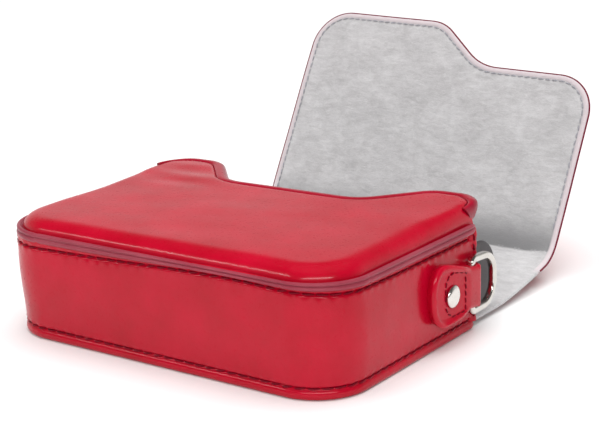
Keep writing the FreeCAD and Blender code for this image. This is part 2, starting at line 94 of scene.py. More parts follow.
add_camera()

# ---------------------------------------------------------------- sizes from the frame


def box(node):
    """Lowest and highest corner of a CAD node, in millimetres."""
    low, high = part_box(node)
    return np.array(low) / MM, np.array(high) / MM


SIDE = box("wall_leather")[1][0]
FOOT = box("wall_leather")[0][1]
OPENING = box("wall_binding_right")[1][1]
LINING_TOP = box("back_lining")[1][2]
WALL = LINING_TOP
FRONT_TOP = box("front_leather")[1][2]
FLANGE_TOP = box("front_leather")[0][2]
PAD_SIDE = box("front_leather")[1][0]
PAD_FOOT = box("front_leather")[0][1]
LIP_SIDE = box("front_collar")[1][0]
LIP_TOP = box("front_collar")[1][1]
COLLAR_TOP = box("front_collar")[1][2]
FLAP_SIDE = box("flap_leather")[1][0]
BACK_SIDE = box("back_leather")[1][0]
BACK_FOOT = box("back_leather")[0][1]
TAB_FACE = box("strap_tab_right")[1][0]
TAB_START = box("strap_tab_right")[0][1]
TAB_LEVEL = (box("rivet_right")[0][2] + box("rivet_right")[1][2]) / 2
RIVET_Y = (box("rivet_right")[0][1] + box("rivet_right")[1][1]) / 2
RIVET_DROP = 0.6
RIVET_RADIUS = (box("rivet_right")[1][2] - box("rivet_right")[0][2]) / 2
RING_LOW, RING_HIGH = box("d_ring_right")
RING_X = (RING_LOW[0] + RING_HIGH[0]) / 2
WIRE = (RING_HIGH[0] - RING_LOW[0]) / 2
JOINTS = {joint["name"]: joint for joint in frame["joints"]}
FOLD_1 = np.array(JOINTS["strip_fold"]["pos_m"][1:]) / MM
FOLD_2 = np.array(JOINTS["flap_fold"]["pos_m"][1:]) / MM
STRIP = float(np.linalg.norm(FOLD_2 - FOLD_1))
TILT = math.atan2(FOLD_2[1] - FOLD_1[1], FOLD_2[0] - FOLD_1[0])
FLAP_END = box("flap_lining")[1]
FLAP_LONG = float(np.linalg.norm(FLAP_END[1:] - FOLD_2))
UPRIGHT = math.atan2(FLAP_END[2] - FOLD_2[1], FLAP_END[1] - FOLD_2[0])

# Shapes that the boxes of the frame's nodes don't give.
CORNER = 16.0                   # radius of the foot corners
FLAP_SHORT = 61.3               # flap's short side, from the second fold
FLAP_STEP = (-5.5, 12.5)        # where the step between the flap's sides starts and ends
FLAP_STEP_RADIUS = 14.0
FLAP_CORNER = 13.5
FLAP_SEAM = 2.2                 # stitch line in from the flap's edge
LOBE_RADIUS = 9.0
LOBE_CORNER = 40.0              # where a lobe of the lip starts to fall into the scoop
SCOOP_RUN = 16.0
SCOOP_DEPTH = 18.0
SCOOP_RADIUS = 11.0
FRONT_SEAM = 28.3               # heights of the two long seams
BACK_SEAM = 3.4
STITCH = 3.7                    # pitch of the long seams
BINDING_STITCH = 2.9            # pitch of the stitches beside the opening

# ---------------------------------------------------------------- geometry helpers


def unit(v):
    """A vector of length 1 in the same direction."""
    return v / np.linalg.norm(v)


def smooth_step(t):
    """An eased climb from 0 to 1."""
    t = np.clip(t, 0, 1)
    return t * t * (3 - 2 * t)


def bump(t, width):
    """A soft bell of height 1."""
    return np.exp(-((t / width) ** 2))


def rough(points, size, depth=1):
    """Smooth seeded noise from -1 to 1 with features of that size."""
    place = np.asarray(points, float) / size
    return np.array([noise.fractal(Vector(p) + SEED, 0.8, 2.0, depth) for p in place])


def rounded(corners, step, closed=True):
    """Points along the straight sides and tangent arcs of an outline of (x, y, radius) corners."""
    spots = [np.array(c[:2], float) for c in corners]
    runs = []
    for i, (_, _, radius) in enumerate(corners):
        end = not closed and i in (0, len(corners) - 1)
        if end or not radius:
            runs.append([spots[i]])
            continue
        before = unit(spots[i - 1] - spots[i])
        after = unit(spots[(i + 1) % len(spots)] - spots[i])
        half = math.acos(np.clip(before @ after, -1, 1)) / 2
        first = spots[i] + before * radius / math.tan(half)
        last = spots[i] + after * radius / math.tan(half)
        centre = spots[i] + unit(before + after) * radius / math.sin(half)
        start = math.atan2(*(first - centre)[::-1])
        turn = (math.atan2(*(last - centre)[::-1]) - start + math.pi) % (2 * math.pi) - math.pi
        count = max(2, math.ceil(abs(turn) * radius / step))
        angles = start + turn * np.arange(count + 1) / count
        runs.append([centre + radius * np.array((math.cos(a), math.sin(a))) for a in angles])
    points = []
    for i, run in enumerate(runs):
        points += run
        if i + 1 == len(runs) and not closed:
            break
        ahead = runs[(i + 1) % len(runs)][0]
        count = max(1, round(np.linalg.norm(ahead - run[-1]) / step))
        points += [run[-1] + (ahead - run[-1]) * k / count for k in range(1, count)]
    kept = [points[0]]
    for point in points[1:]:
        if np.linalg.norm(point - kept[-1]) > 1e-4:
            kept.append(point)
    if closed and np.linalg.norm(kept[-1] - kept[0]) < 1e-4:
        kept.pop()
    return np.array(kept)


def inset(corners, distance):
    """A counter-clockwise outline drawn in by that distance, with its arcs kept concentric."""
    spots = [np.array(c[:2], float) for c in corners]
    made = []
    for i, (_, _, radius) in enumerate(corners):
        into = unit(spots[i] - spots[i - 1])
        out = unit(spots[(i + 1) % len(spots)] - spots[i])
        inward = np.array((-into[1], into[0])), np.array((-out[1], out[0]))
        spot = spots[i] + distance * (inward[0] + inward[1]) / (1 + inward[0] @ inward[1])
        turn = 1 if into[0] * out[1] > into[1] * out[0] else -1
        made.append((*spot, max(0.05, radius - turn * distance) if radius else 0))
    return made


def outward(points, closed=True):
    """Unit normals on the right-hand side of a path, which is the outside of a counter-clockwise outline."""
    ahead = np.roll(points, -1, 0) - points
    behind = points - np.roll(points, 1, 0)
    if not closed:
        ahead[-1] = behind[-1]
        behind[0] = ahead[0]
    ahead /= np.linalg.norm(ahead, axis=1)[:, None]
    behind /= np.linalg.norm(behind, axis=1)[:, None]
    along = ahead + behind
    along /= np.linalg.norm(along, axis=1)[:, None]
    return np.stack((along[:, 1], -along[:, 0]), 1)


def lengths(points):
    """Distance along a path at each of its points."""
    steps = np.linalg.norm(np.diff(points, axis=0), axis=1)
    return np.concatenate(([0], np.cumsum(steps)))


def in_parts(points):
    """The points in parts small enough to compare with a whole line at once."""
    return np.array_split(points, max(1, len(points) // 1500))


def distance_to(points, line, closed=True):
    """Each point's distance to a polyline."""
    ends = np.roll(line, -1, 0) if closed else line[1:]
    starts = line if closed else line[:-1]
    run = ends - starts
    square = (run**2).sum(1)
    found = []
    for part in in_parts(points):
        gap = part[:, None] - starts[None]
        share = np.clip((gap * run).sum(2) / square, 0, 1)
        found.append(np.linalg.norm(gap - share[..., None] * run, axis=2).min(1))
    return np.concatenate(found)


def panel(outline, insets, step, extra=()):
    """Fills an outline with triangles that are fine near its edge. The outline's own points come first."""
    normals = outward(outline)
    groups = [outline]
    for depth in insets:
        ring = outline - normals * depth
        groups.append(ring[distance_to(ring, outline) > 0.93 * depth])
    low, high = outline.min(0), outline.max(0)
    rows = np.arange(low[1], high[1], step * 0.87)
    columns = np.arange(low[0], high[0], step)
    grid = [(x + (step / 2 if k % 2 else 0), y) for k, y in enumerate(rows) for x in columns]
    inside = np.array([p for p in grid if in_outline(p, outline)])
    groups.append(inside[distance_to(inside, outline) > insets[-1] + step * 0.6])
    if len(extra):
        extra = np.array([p for p in extra if in_outline(p, outline)])
        groups.append(extra[distance_to(extra, outline) > insets[0]])
    points = np.vstack(groups)
    count = len(outline)
    edges = [(i, (i + 1) % count) for i in range(count)]
    made = delaunay_2d_cdt([Vector(p) for p in points], edges, [], 1, 1e-5)
    kept = np.array([tuple(p) for p in made[0]])
    order = np.full(len(points), -1)
    for new, old in enumerate(made[3]):
        for k in old:
            order[k] = new
    faces = [tuple(f) for f in made[2]]
    rim = order[:count]
    return kept, faces, rim, distance_to(kept, outline)


def in_outline(point, outline):
    """True if the point lies inside a closed outline."""
    x, y = point
    a, b = outline, np.roll(outline, -1, 0)
    crosses = (a[:, 1] > y) != (b[:, 1] > y)
    a, b = a[crosses], b[crosses]
    at = a[:, 0] + (y - a[:, 1]) * (b[:, 0] - a[:, 0]) / (b[:, 1] - a[:, 1])
    return bool((at > x).sum() % 2)


def loft(rings, closed_path=False):
    """Quads between successive rings of points, each ring a closed loop. An open path gets end caps."""
    rings = np.array(rings)
    count, size = rings.shape[:2]
    faces = []
    for i in range(count if closed_path else count - 1):
        j = (i + 1) % count
        for k in range(size):
            n = (k + 1) % size
            faces.append((i * size + k, i * size + n, j * size + n, j * size + k))
    if not closed_path:
        faces.append(tuple(range(size)))
        faces.append(tuple(range((count - 1) * size, count * size)))
    return rings.reshape(-1, 3), faces


def build(name, points, faces, slot, sharp=None, values=None):
    """A smooth mesh piece from points in millimetres. Values are float attributes on its points."""
    mesh = bpy.data.meshes.new(name)
    mesh.from_pydata([tuple(p) for p in np.asarray(points) * MM], [], faces)
    work = bmesh.new()
    work.from_mesh(mesh)
    bmesh.ops.recalc_face_normals(work, faces=work.faces)
    work.to_mesh(mesh)
    work.free()
    for key, value in (values or {}).items():
        layer = mesh.attributes.new(key, "FLOAT", "POINT")
        layer.data.foreach_set("value", np.asarray(value, np.float32))
    mesh.shade_smooth()
    if sharp:
        mesh.set_sharp_from_angle(angle=math.radians(sharp))
    piece = bpy.data.objects.new(name, mesh)
    bpy.context.scene.collection.objects.link(piece)
    mesh.materials.append(LOOKS[slot])
    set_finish(piece, slot)
    return piece


def mirrored(piece, name):
    """A copy of the piece on the other side of the case."""
    mesh = piece.data.copy()
    mesh.transform(Matrix.Diagonal((-1, 1, 1, 1)))
    mesh.flip_normals()
    twin = bpy.data.objects.new(name, mesh)
    bpy.context.scene.collection.objects.link(twin)
    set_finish(twin, piece["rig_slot"])
    return twin


def fit(piece, *nodes, body="case"):
    """Puts a piece in the place of CAD nodes, on their body."""
    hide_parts(*nodes)
    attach(piece, body)


def fit_pair(piece, twin_name, node_name, bodies=("case", "case")):
    """Fits a right-hand piece, and its mirror image on the left."""
    fit(piece, f"{node_name}_right", body=bodies[0])
    fit(mirrored(piece, twin_name), f"{node_name}_left", body=bodies[1])


# ---------------------------------------------------------------- materials

LOOKS = {}                      # each slot's material


def new_material(slot, **sockets):
    """Starts a slot's principled material, whose even values sit on the shader's own sockets."""
    material = bpy.data.materials.new(slot)
    material.use_nodes = True
    LOOKS[slot] = material
    shader = material.node_tree.nodes["Principled BSDF"]
    for key, value in sockets.items():
        shader.inputs[key.replace("_", " ")].default_value = value
    return material.node_tree, shader


def node(tree, kind, settings=None, **inputs):
    """Adds a shader node. An input is a value or another node's socket, and i0 is the first input."""
    made = tree.nodes.new(kind)
    for key, value in (settings or {}).items():
        setattr(made, key, value)
    for key, value in inputs.items():
        numbered = key[0] == "i" and key[1:].isdigit()
        target = made.inputs[int(key[1:]) if numbered else key.replace("_", " ")]
        if isinstance(value, bpy.types.NodeSocket):
            tree.links.new(value, target)
        else:
            target.default_value = value
    return made


def place(tree, stretch=(1, 1, 1), turn=(0, 0, 0)):
    """Coordinates on the object, in metres, stretched for a directional texture."""
    source = node(tree, "ShaderNodeTexCoord").outputs["Object"]
    return node(tree, "ShaderNodeMapping", Vector=source, Scale=stretch, Rotation=turn).outputs["Vector"]


def speckle(tree, where, scale, detail, **more):
    """The value of a noise texture, with its scale in features per metre."""
    return node(tree, "ShaderNodeTexNoise", Vector=where, Scale=scale, Detail=detail, **more).outputs["Fac"]


def ramp(tree, factor, low, high, colours):
    """Colours spread between two values of a factor."""
    made = node(tree, "ShaderNodeValToRGB", Fac=factor)
    elements = made.color_ramp.elements
    while len(elements) < len(colours):
        elements.new(0.5)
    for k, colour in enumerate(colours):
        elements[k].position = low + (high - low) * k / (len(colours) - 1)
        elements[k].color = (*colour, 1)
    return made.outputs["Color"]


def spread(tree, value, low, high, first=0.0, last=1.0):
    """A value carried from one range to another."""
    ends = {"From_Min": low, "From_Max": high, "To_Min": first, "To_Max": last}
    return node(tree, "ShaderNodeMapRange", Value=value, **ends).outputs["Result"]


def calculate(tree, operation, a, b):
    """One sum or product of two values."""
    return node(tree, "ShaderNodeMath", {"operation": operation}, i0=a, i1=b).outputs["Value"]


def weighted(tree, first, *others):
    """The sum of (value, weight) terms."""
    total = calculate(tree, "MULTIPLY", *first)
    for term in others:
        total = calculate(tree, "ADD", total, calculate(tree, "MULTIPLY", *term))
    return total


def attribute(tree, name):
    """One of the values that build() puts on a piece's points."""
    return node(tree, "ShaderNodeAttribute", {"attribute_name": name}).outputs["Fac"]


def mix_colour(tree, factor, a, b):
    """A colour between a and b. The inputs are numbered because their names repeat for each data type."""
    return node(tree, "ShaderNodeMix", {"data_type": "RGBA"}, i0=factor, i6=a, i7=b).outputs[2]


def raise_surface(tree, shader, height, depth, strength=1.0, socket="Normal"):
    """Gives the shader a relief. Depth is in millimetres for a height of 1."""
    made = node(tree, "ShaderNodeBump", Height=height, Strength=strength, Distance=depth * MM)
    tree.links.new(made.outputs["Normal"], shader.inputs[socket])


def leather(slot, deep, light, grain=0.75, relief=0.042, gloss=0.3, coat=0.42):
    """Finished cowhide: pebbled grain, pores, faint creases and uneven dye under a glossy coat, darkened by
    the edge value towards an edge colour that is a burnished cut edge on the hides and painted shade on the
    lip's edging.
    """
    sockets = {"Coat_Weight": coat, "Coat_Roughness": 0.18, "Specular_IOR_Level": 0.05, "IOR": 1.48}
    tree, shader = new_material(slot, **sockets)
    where = place(tree)
    warp = node(tree, "ShaderNodeTexNoise", Vector=where, Scale=420.0, Detail=2.0).outputs["Color"]
    shift = node(tree, "ShaderNodeVectorMath", {"operation": "SCALE"}, i0=warp, Scale=0.0003)
    moved = node(tree, "ShaderNodeVectorMath", {"operation": "ADD"}, i0=where, i1=shift.outputs["Vector"])
    borders = {"feature": "DISTANCE_TO_EDGE"}
    cells = node(tree, "ShaderNodeTexVoronoi", borders, Vector=moved.outputs["Vector"], Scale=1000.0 / grain)
    eased = {"interpolation_type": "SMOOTHSTEP"}
    pebbles = node(tree, "ShaderNodeMapRange", eased, Value=cells.outputs["Distance"], From_Max=0.5)
    pebble = pebbles.outputs["Result"]
    pores = speckle(tree, where, 3000.0, 1.0)
    creases = speckle(tree, where, 240.0, 2.0)
    raise_surface(tree, shader, weighted(tree, (pebble, 0.4), (pores, 0.16), (creases, 0.9)), relief)
    raise_surface(tree, shader, creases, relief * 0.6, socket="Coat Normal")
    tone = ramp(tree, speckle(tree, where, 55.0, 4.0, Roughness=0.6), 0.3, 0.7, [deep, light])
    # Edge colour: a real burnished cut edge on the hides' rims, and painted shade over the lip's edging.
    edge_dye_and_shade = (deep[0] * 0.42, deep[1] + 0.008, deep[2] + 0.016, 1)
    dyed = mix_colour(tree, attribute(tree, "edge"), tone, edge_dye_and_shade)
    tree.links.new(dyed, shader.inputs["Base Color"])
    shine = spread(tree, speckle(tree, where, 900.0, 3.0), 0.3, 0.7, gloss - 0.05, gloss + 0.07)
    tree.links.new(shine, shader.inputs["Roughness"])


def microfibre(slot, dark, light, edge, shade_colour):
    """Brushed suede cloth: cloudy nap, slanting fibres, a tinted border, and painted shade beside the second
    fold.
    """
    sockets = {"Roughness": 0.95, "Sheen_Weight": 0.25, "Sheen_Roughness": 0.5, "Specular_IOR_Level": 0.15}
    tree, shader = new_material(slot, **sockets)
    slanted = place(tree, (0.38, 1.0, 1.0), (0.0, 0.35, 0.0))
    clouds = speckle(tree, place(tree), 95.0, 5.0, Roughness=0.62, Distortion=0.8)
    strokes = speckle(tree, slanted, 620.0, 4.0, Roughness=0.7, Distortion=0.6)
    fibres = speckle(tree, slanted, 3800.0, 3.0, Roughness=0.8)
    nap = weighted(tree, (clouds, 0.32), (strokes, 0.38), (fibres, 0.30))
    colour = ramp(tree, nap, 0.38, 0.62, [dark, light])
    # Painted shade: the lining turns dark grey beside the second fold, where shade falls.
    colour = mix_colour(tree, attribute(tree, "painted_shade"), colour, (*shade_colour, 1))
    colour = mix_colour(tree, attribute(tree, "border"), colour, (*edge, 1))
    tree.links.new(colour, shader.inputs["Base Color"])
    raise_surface(tree, shader, weighted(tree, (strokes, 0.7), (fibres, 0.5), (clouds, 0.6)), 0.22, 0.8)


def thread(slot, dark, light):
    """Waxed twisted thread."""
    tree, shader = new_material(slot, Roughness=0.6, Specular_IOR_Level=0.12)
    fuzz = speckle(tree, place(tree), 5200.0, 3.0)
    tree.links.new(ramp(tree, fuzz, 0.35, 0.65, [dark, light]), shader.inputs["Base Color"])
    raise_surface(tree, shader, fuzz, 0.06, 0.7)


def metal(slot, colour, roughness):
    """Polished nickel plate with hairline scratches and a slightly uneven polish."""
    tree, shader = new_material(slot, Metallic=1.0)
    scratches = speckle(tree, place(tree, (1, 14, 1), (0.5, 0.2, 0.9)), 900.0, 4.0)
    smears = speckle(tree, place(tree), 500.0, 3.0)
    worn = spread(tree, smears, 0.3, 0.7, roughness, roughness + 0.12)
    tree.links.new(worn, shader.inputs["Roughness"])
    tint = ramp(tree, smears, 0.3, 0.7, [[c * 0.9 for c in colour], colour])
    tree.links.new(tint, shader.inputs["Base Color"])
    raise_surface(tree, shader, scratches, 0.02, 0.35)


def plain_stuff(slot, dark, light, size, roughness):
    """Fibreboard or iron that is hidden inside the layers. Size is its flecks' size."""
    tree, shader = new_material(slot, Roughness=roughness)
    flecks = speckle(tree, place(tree), 1000.0 / size, 4.0)
    tree.links.new(ramp(tree, flecks, 0.35, 0.65, [dark, light]), shader.inputs["Base Color"])
    raise_surface(tree, shader, flecks, 0.1, 0.4)


leather("red_leather", (0.39, 0.0008, 0.012), (0.49, 0.0015, 0.021))
leather("piping_leather", (0.25, 0.032, 0.052), (0.33, 0.055, 0.08), 0.5, 0.012, 0.36, 0.3)
leather("ear_leather", (0.055, 0.049, 0.052), (0.09, 0.08, 0.083), 0.5, 0.02, 0.38, 0.2)
# The last colour is the painted shade on the lining beside the second fold.
microfibre("microfibre", (0.42, 0.41, 0.415), (0.62, 0.61, 0.615), (0.66, 0.58, 0.60), (0.24, 0.238, 0.242))
thread("thread_red", (0.11, 0.001, 0.006), (0.24, 0.004, 0.018))
thread("thread_grey", (0.28, 0.28, 0.31), (0.46, 0.46, 0.50))
metal("ring_metal", (0.66, 0.63, 0.59), 0.10)
metal("rivet_metal", (0.74, 0.71, 0.67), 0.14)
plain_stuff("stiffener", (0.30, 0.22, 0.15), (0.50, 0.40, 0.29), 0.6, 0.9)
plain_stuff("closure_iron", (0.16, 0.16, 0.17), (0.30, 0.30, 0.32), 0.4, 0.5)

# ---------------------------------------------------------------- stitches


STITCH_SIDES = 10               # points round a stitch
STITCH_STATIONS = 9             # rings along a stitch


def sample(at, along, values):
    """A path's values at one distance along it."""
    return np.array([np.interp(at, along, column) for column in values.T])


def stitch_row(name, points, normals, pitch, length, radius, slot, slant=0.0):
    """Separate twisted stitches laid end to end along a path, each dipping into its holes."""
    along = lengths(points)
    count = int(along[-1] // pitch)
    margin = (along[-1] - count * pitch) / 2
    around = 2 * math.pi * np.arange(STITCH_SIDES) / STITCH_SIDES
    vertices, faces = [], []
    for k in range(count):
        middle = margin + (k + 0.5) * pitch
        centre = sample(middle, along, points)
        run = unit(sample(middle + 0.3, along, points) - sample(middle - 0.3, along, points))
        up = sample(middle, along, normals)
        up = unit(up - run * (up @ run))
        across = np.cross(up, run)
        wobble = 0.12 * math.sin(7.3 * k)
        rings = []
        for t in np.linspace(-1, 1, STITCH_STATIONS):
            core = centre + run * (t * length / 2) + across * (t * (slant + wobble) * length / 2)
            core = core + up * radius * (0.75 - 1.9 * t**4)
            size = radius * (0.6 + 0.4 * math.sqrt(1 - t * t))
            plies = size * (1 + 0.14 * np.cos(2 * around - 5.0 * t))
            rings.append([
                core + ply * (math.cos(angle) * across + math.sin(angle) * up)
                for ply, angle in zip(plies, around)
            ])
        stitch, sides = loft(rings)
        faces += [tuple(len(vertices) + v for v in side) for side in sides]
        vertices += list(stitch)
    return build(name, vertices, faces, slot)


# ---------------------------------------------------------------- side wall and its edges


def wall_line(out, step, top):
    """The wall's outline from the left side round the foot to the right, with outward normals."""
    x = SIDE + out
    y = FOOT - out
    radius = CORNER + out
    corners = [(-x, top, 0), (-x, y, radius), (x, y, radius), (x, top, 0)]
    points = rounded(corners, step, closed=False)
    return points, outward(points, closed=False)


def seam_rise(path):
    """How far the front seam climbs towards the piping near the right foot corner."""
    along = lengths(path)
    peak = along[np.linalg.norm(path - (25.0, FOOT), axis=1).argmin()]
    return 1.9 * bump(along - peak, 38.0)


def left_lean(points):
    """How strongly a place feels the outward lean of the left foot corner."""
    return bump(np.hypot(points[:, 0] + SIDE - 5, points[:, 1] - FOOT - 5), 24.0)


def corner_lean(points, level):
    """How far the wall leans out at the left foot corner, more with height."""
    return 1.3 * left_lean(points) * smooth_step(level / 27)


def settled(points):
    """The whole left foot corner sits a little further out than the right one."""
    share = smooth_step((-points[:, 0] - 15) / 40) * smooth_step((5 - points[:, 1]) / 22)
    moved = points.copy()
    moved[:, 0] -= 1.0 * share
    return moved


def puckers(along, level, seam):
    """How a seam pulls the leather in: a groove, with soft gathers between the stitches."""
    away = level - seam
    gather = 0.15 * np.cos(2 * math.pi * along / STITCH) * bump(np.abs(away) - 0.8, 0.6)
    return -0.6 * bump(away, 0.42) + gather


def wall_height(points, along, level):
    """How far the wall's leather stands out at that place along it and that height."""
    corner = bump(np.hypot(points[:, 0] - SIDE + 5, points[:, 1] - FOOT - 5), 22.0)
    share = np.clip((level - BACK_SEAM) / (FRONT_SEAM - BACK_SEAM), 0, 1)
    belly = (0.4 + 0.7 * corner) * np.sin(math.pi * share)
    spots = np.column_stack((points, level))
    waves = 0.30 * rough(spots, 30.0) + 0.10 * rough(spots, 9.0) + 0.03 * rough(spots, 3.0, 2)
    inner = smooth_step((level - 4.2) / 3) * smooth_step((28.0 - level) / 3)
    surface = corner_lean(points, level) + belly + waves * inner
    return surface + puckers(along, level, BACK_SEAM) + puckers(along, level, FRONT_SEAM)


def add_wall():
    """The gusset's outer leather, gathered slightly along both seams."""
    top = OPENING - 0.9
    path, normals = wall_line(0, 0.62, top)
    along = lengths(path)
    foot_rows, middle_rows, top_rows = (2.75, 5.2, 13), (6.0, 26.8, 22), (27.4, 30.9, 17)
    levels = np.concatenate([np.linspace(*row) for row in (foot_rows, middle_rows, top_rows)])
    rings = []
    for point, normal, s, rise in zip(path, normals, along, seam_rise(path)):
        spots = np.repeat(point[None], len(levels), 0)
        out = wall_height(spots, s, levels)
        out = out - 0.7 * (1 - np.sqrt(1 - np.clip((3.2 - levels) / 0.5, 0, 0.98) ** 2)) * 0.5
        out = out - 0.8 * (1 - np.sqrt(1 - np.clip((levels - 30.2) / 0.75, 0, 0.98) ** 2))
        heights = levels + rise * smooth_step((levels - 18) / 10)
        outer = np.column_stack((spots + normal * out[:, None], heights))
        inner = [(*(point - normal * 1.15), level) for level in (heights[-1], 20.0, 10.0, 2.75)]
        rings.append(settled(np.vstack((outer, inner))))
    piece = build("gusset_leather", *loft(rings), "red_leather", sharp=50)
    fit(piece, "wall_leather")


def add_wall_seams():
    """Rows of stitches under the piping and above the back's edge."""
    seams = (
        ("front_seam_stitches", FRONT_SEAM, 1.0, "front_seam_thread"),
        ("back_seam_stitches", BACK_SEAM, 0.0, "back_seam_thread"),
    )
    for name, seam, share, cad in seams:
        path, normals = wall_line(-0.3, 0.6, OPENING - 2.6)
        lean = corner_lean(path, seam)
        levels = seam + share * seam_rise(path)
        points = settled(np.column_stack((path + normals * lean[:, None], levels)))
        ups = np.column_stack((normals, np.zeros(len(path))))
        piece = stitch_row(name, points, ups, STITCH, 3.3, 0.25, "thread_red", 0.10)
        fit(piece, cad)


# (Out from the wall's face, up from the floor) round the edge roll's section.
BACK_ROLL = [
    (-1.2, 3.2), (-0.45, 3.05), (0.02, 2.65), (0.26, 2.1), (0.36, 1.5), (0.26, 0.9),
    (0.0, 0.42), (-0.45, 0.12), (-1.4, 0.05), (-2.2, 0.05), (-2.2, 3.2),
]


def add_back_roll():
    """Turned edge that joins the gusset and the back in one smooth roll."""
    path, normals = wall_line(0, 0.9, OPENING - 0.4)
    along = lengths(path)
    total = along[-1]
    section = np.array(BACK_ROLL)
    rings = []
    for point, normal, s in zip(path, normals, along):
        gather = 0.06 * math.cos(2 * math.pi * s / STITCH)
        ease = 0.35 + 0.65 * math.sqrt(min(1.0, min(s, total - s) / 1.4))
        shaped = (section - (-1.0, 1.6)) * ease + (-1.0, 1.6)
        ring = [(*(point + normal * (o + gather * bump(u - 2.6, 0.6))), u) for o, u in shaped]
        rings.append(settled(np.array(ring)))
    piece = build("back_edge_roll", *loft(rings), "red_leather", sharp=60)
    fit(piece, "back_welt")


def piping_section():
    """Closed section of the double-ridged piping: (out, up) from the wall's face and the seam level."""
    upper_turn = np.radians(np.linspace(170, -62, 15))
    lower_turn = np.radians(np.linspace(62, -120, 14))
    high = [(0.62 + 0.68 * math.cos(a), 32.2 + 0.68 * math.sin(a)) for a in upper_turn]
    low = [(0.50 + 0.95 * math.cos(a), 30.72 + 0.92 * math.sin(a)) for a in lower_turn]
    return np.array(high + low + [(-1.6, 30.4), (-1.6, 32.2)])


def add_piping():
    """Double-ridged leather piping, nicked where it turns the corners."""
    section = piping_section()
    path, normals = wall_line(0, 0.5, OPENING - 1.4)
    along = lengths(path)
    total = along[-1]
    straight = OPENING - 1.4 - FOOT - CORNER
    corner = CORNER * math.pi / 2
    far = total - straight
    nicks = [straight, straight + corner, far - corner, far, far - corner - 30]
    rings = []
    for point, normal, s, rise in zip(path, normals, along, seam_rise(path)):
        pinch = 1 - 0.16 * sum(float(bump(s - nick, 0.42)) for nick in nicks)
        ease = min(1.0, 0.45 + 0.55 * math.sqrt(max(0.0, min(s, total - s)) / 2.2))
        wave = 0.05 * noise.noise(Vector((s / 7.0, 1.0, 2.0)))
        centre = np.array((-0.2, 31.6))
        shaped = centre + (section - centre) * pinch * ease + (wave, wave)
        shaped[:, 1] = 32.9 - (32.9 - shaped[:, 1]) * (1 - rise / 4.4)
        rings.append(settled(np.array([(*(point + normal * o), u) for o, u in shaped])))
    piece = build("double_piping", *loft(rings), "piping_leather")
    fit(piece, "front_piping")


def add_binding():
    """Turned leather over the gusset's opening edge, puckered by its stitches, on both sides."""
    levels = np.linspace(2.7, 31.6, 90)
    angles = np.radians(np.linspace(-90, 90, 13))
    inner_face = SIDE - WALL - 0.7
    rings = []
    for level in levels:
        gather = 0.10 * math.cos(2 * math.pi * level / BINDING_STITCH)
        crown = smooth_step((31.9 - level) / 1.6)
        outer = SIDE + 0.15 + (0.5 + gather) * crown
        thick = outer - inner_face
        nose = OPENING - 0.75 + 0.12 * gather
        loop = [
            (SIDE - 0.4, OPENING - 3.2),
            (SIDE + 0.12, OPENING - 2.4),
            (outer - 0.28, OPENING - 1.8),
            (outer + 0.02, OPENING - 1.1),
        ]
        loop += [
            (inner_face + thick / 2 + thick / 2 * math.sin(-a), nose + 0.75 * crown * math.cos(a) ** 0.7)
            for a in angles
        ]
        loop += [(inner_face, OPENING - 2.4), (inner_face + 0.6, OPENING - 2.4)]
        loop += [(SIDE - 0.5, OPENING - 1.2), (SIDE - 0.6, OPENING - 3.2)]
        rings.append([(x, y, level) for x, y in loop])
    piece = build("binding_right", *loft(rings), "red_leather", sharp=60)
    fit_pair(piece, "binding_left", "wall_binding")
    for name, sign in (("right", 1), ("left", -1)):
        points = np.array([(sign * (SIDE + 0.36), OPENING - 1.8, z) for z in np.linspace(3.2, 30.4, 60)])
        ups = np.tile((sign, 0.0, 0.0), (60, 1))
        row_name = f"binding_stitches_{name}"
        row = stitch_row(row_name, points, ups, BINDING_STITCH, 2.3, 0.28, "thread_red", 0.12)
        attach(row, "case")


def add_ears():
    """Smooth stiff ears inside the walls, bowed a little and with eased edges."""
    low, high = box("side_ear_right")
    high[2] -= 2.0
    corners = [(low[1], low[2], 0), (high[1], low[2], 11.2), (high[1], high[2], 11.2), (low[1], high[2], 0)]
    outline = rounded(corners, 0.7)
    points, faces, rim, away = panel(outline, (0.15, 0.4, 0.8, 1.4), 1.4)
    middle = (low[0] + high[0]) / 2
    bow = -0.5 * ((points[:, 0] - low[1]) / (high[1] - low[1])) ** 2
    half = 0.6 * np.sqrt(1 - (1 - np.clip(away / 0.6, 0.02, 1)) ** 2)
    outer = np.column_stack((middle + bow + half, points))
    inner = np.column_stack((middle + bow - half, points))
    vertices, faces = two_sided(outer, inner, faces, rim)
    piece = build("ear_right", vertices, faces, "ear_leather")
    fit_pair(piece, "ear_left", "side_ear")


def two_sided(outer, inner, faces, rim, rings=()):
    """Closes two copies of a panel into a solid, through optional rings of edge points."""
    count = len(outer)
    vertices = [*outer, *inner]
    made = [tuple(f) for f in faces] + [tuple(count + i for i in reversed(f)) for f in faces]
    loops = [list(rim)]
    for ring in rings:
        loops.append(list(range(len(vertices), len(vertices) + len(ring))))
        vertices += list(ring)
    loops.append([count + i for i in rim])
    for upper, lower in zip(loops, loops[1:]):
        for k in range(len(rim)):
            n = (k + 1) % len(rim)
            made.append((upper[k], lower[k], lower[n], upper[n]))
    return np.array(vertices), made


# ---------------------------------------------------------------- padded front


def tilt(x, y):
    """The padded front's plane: lowest at the left of the foot and highest at the right lobe."""
    return -0.34 + 0.0087 * x + 0.022 * y + 0.00007 * x * y


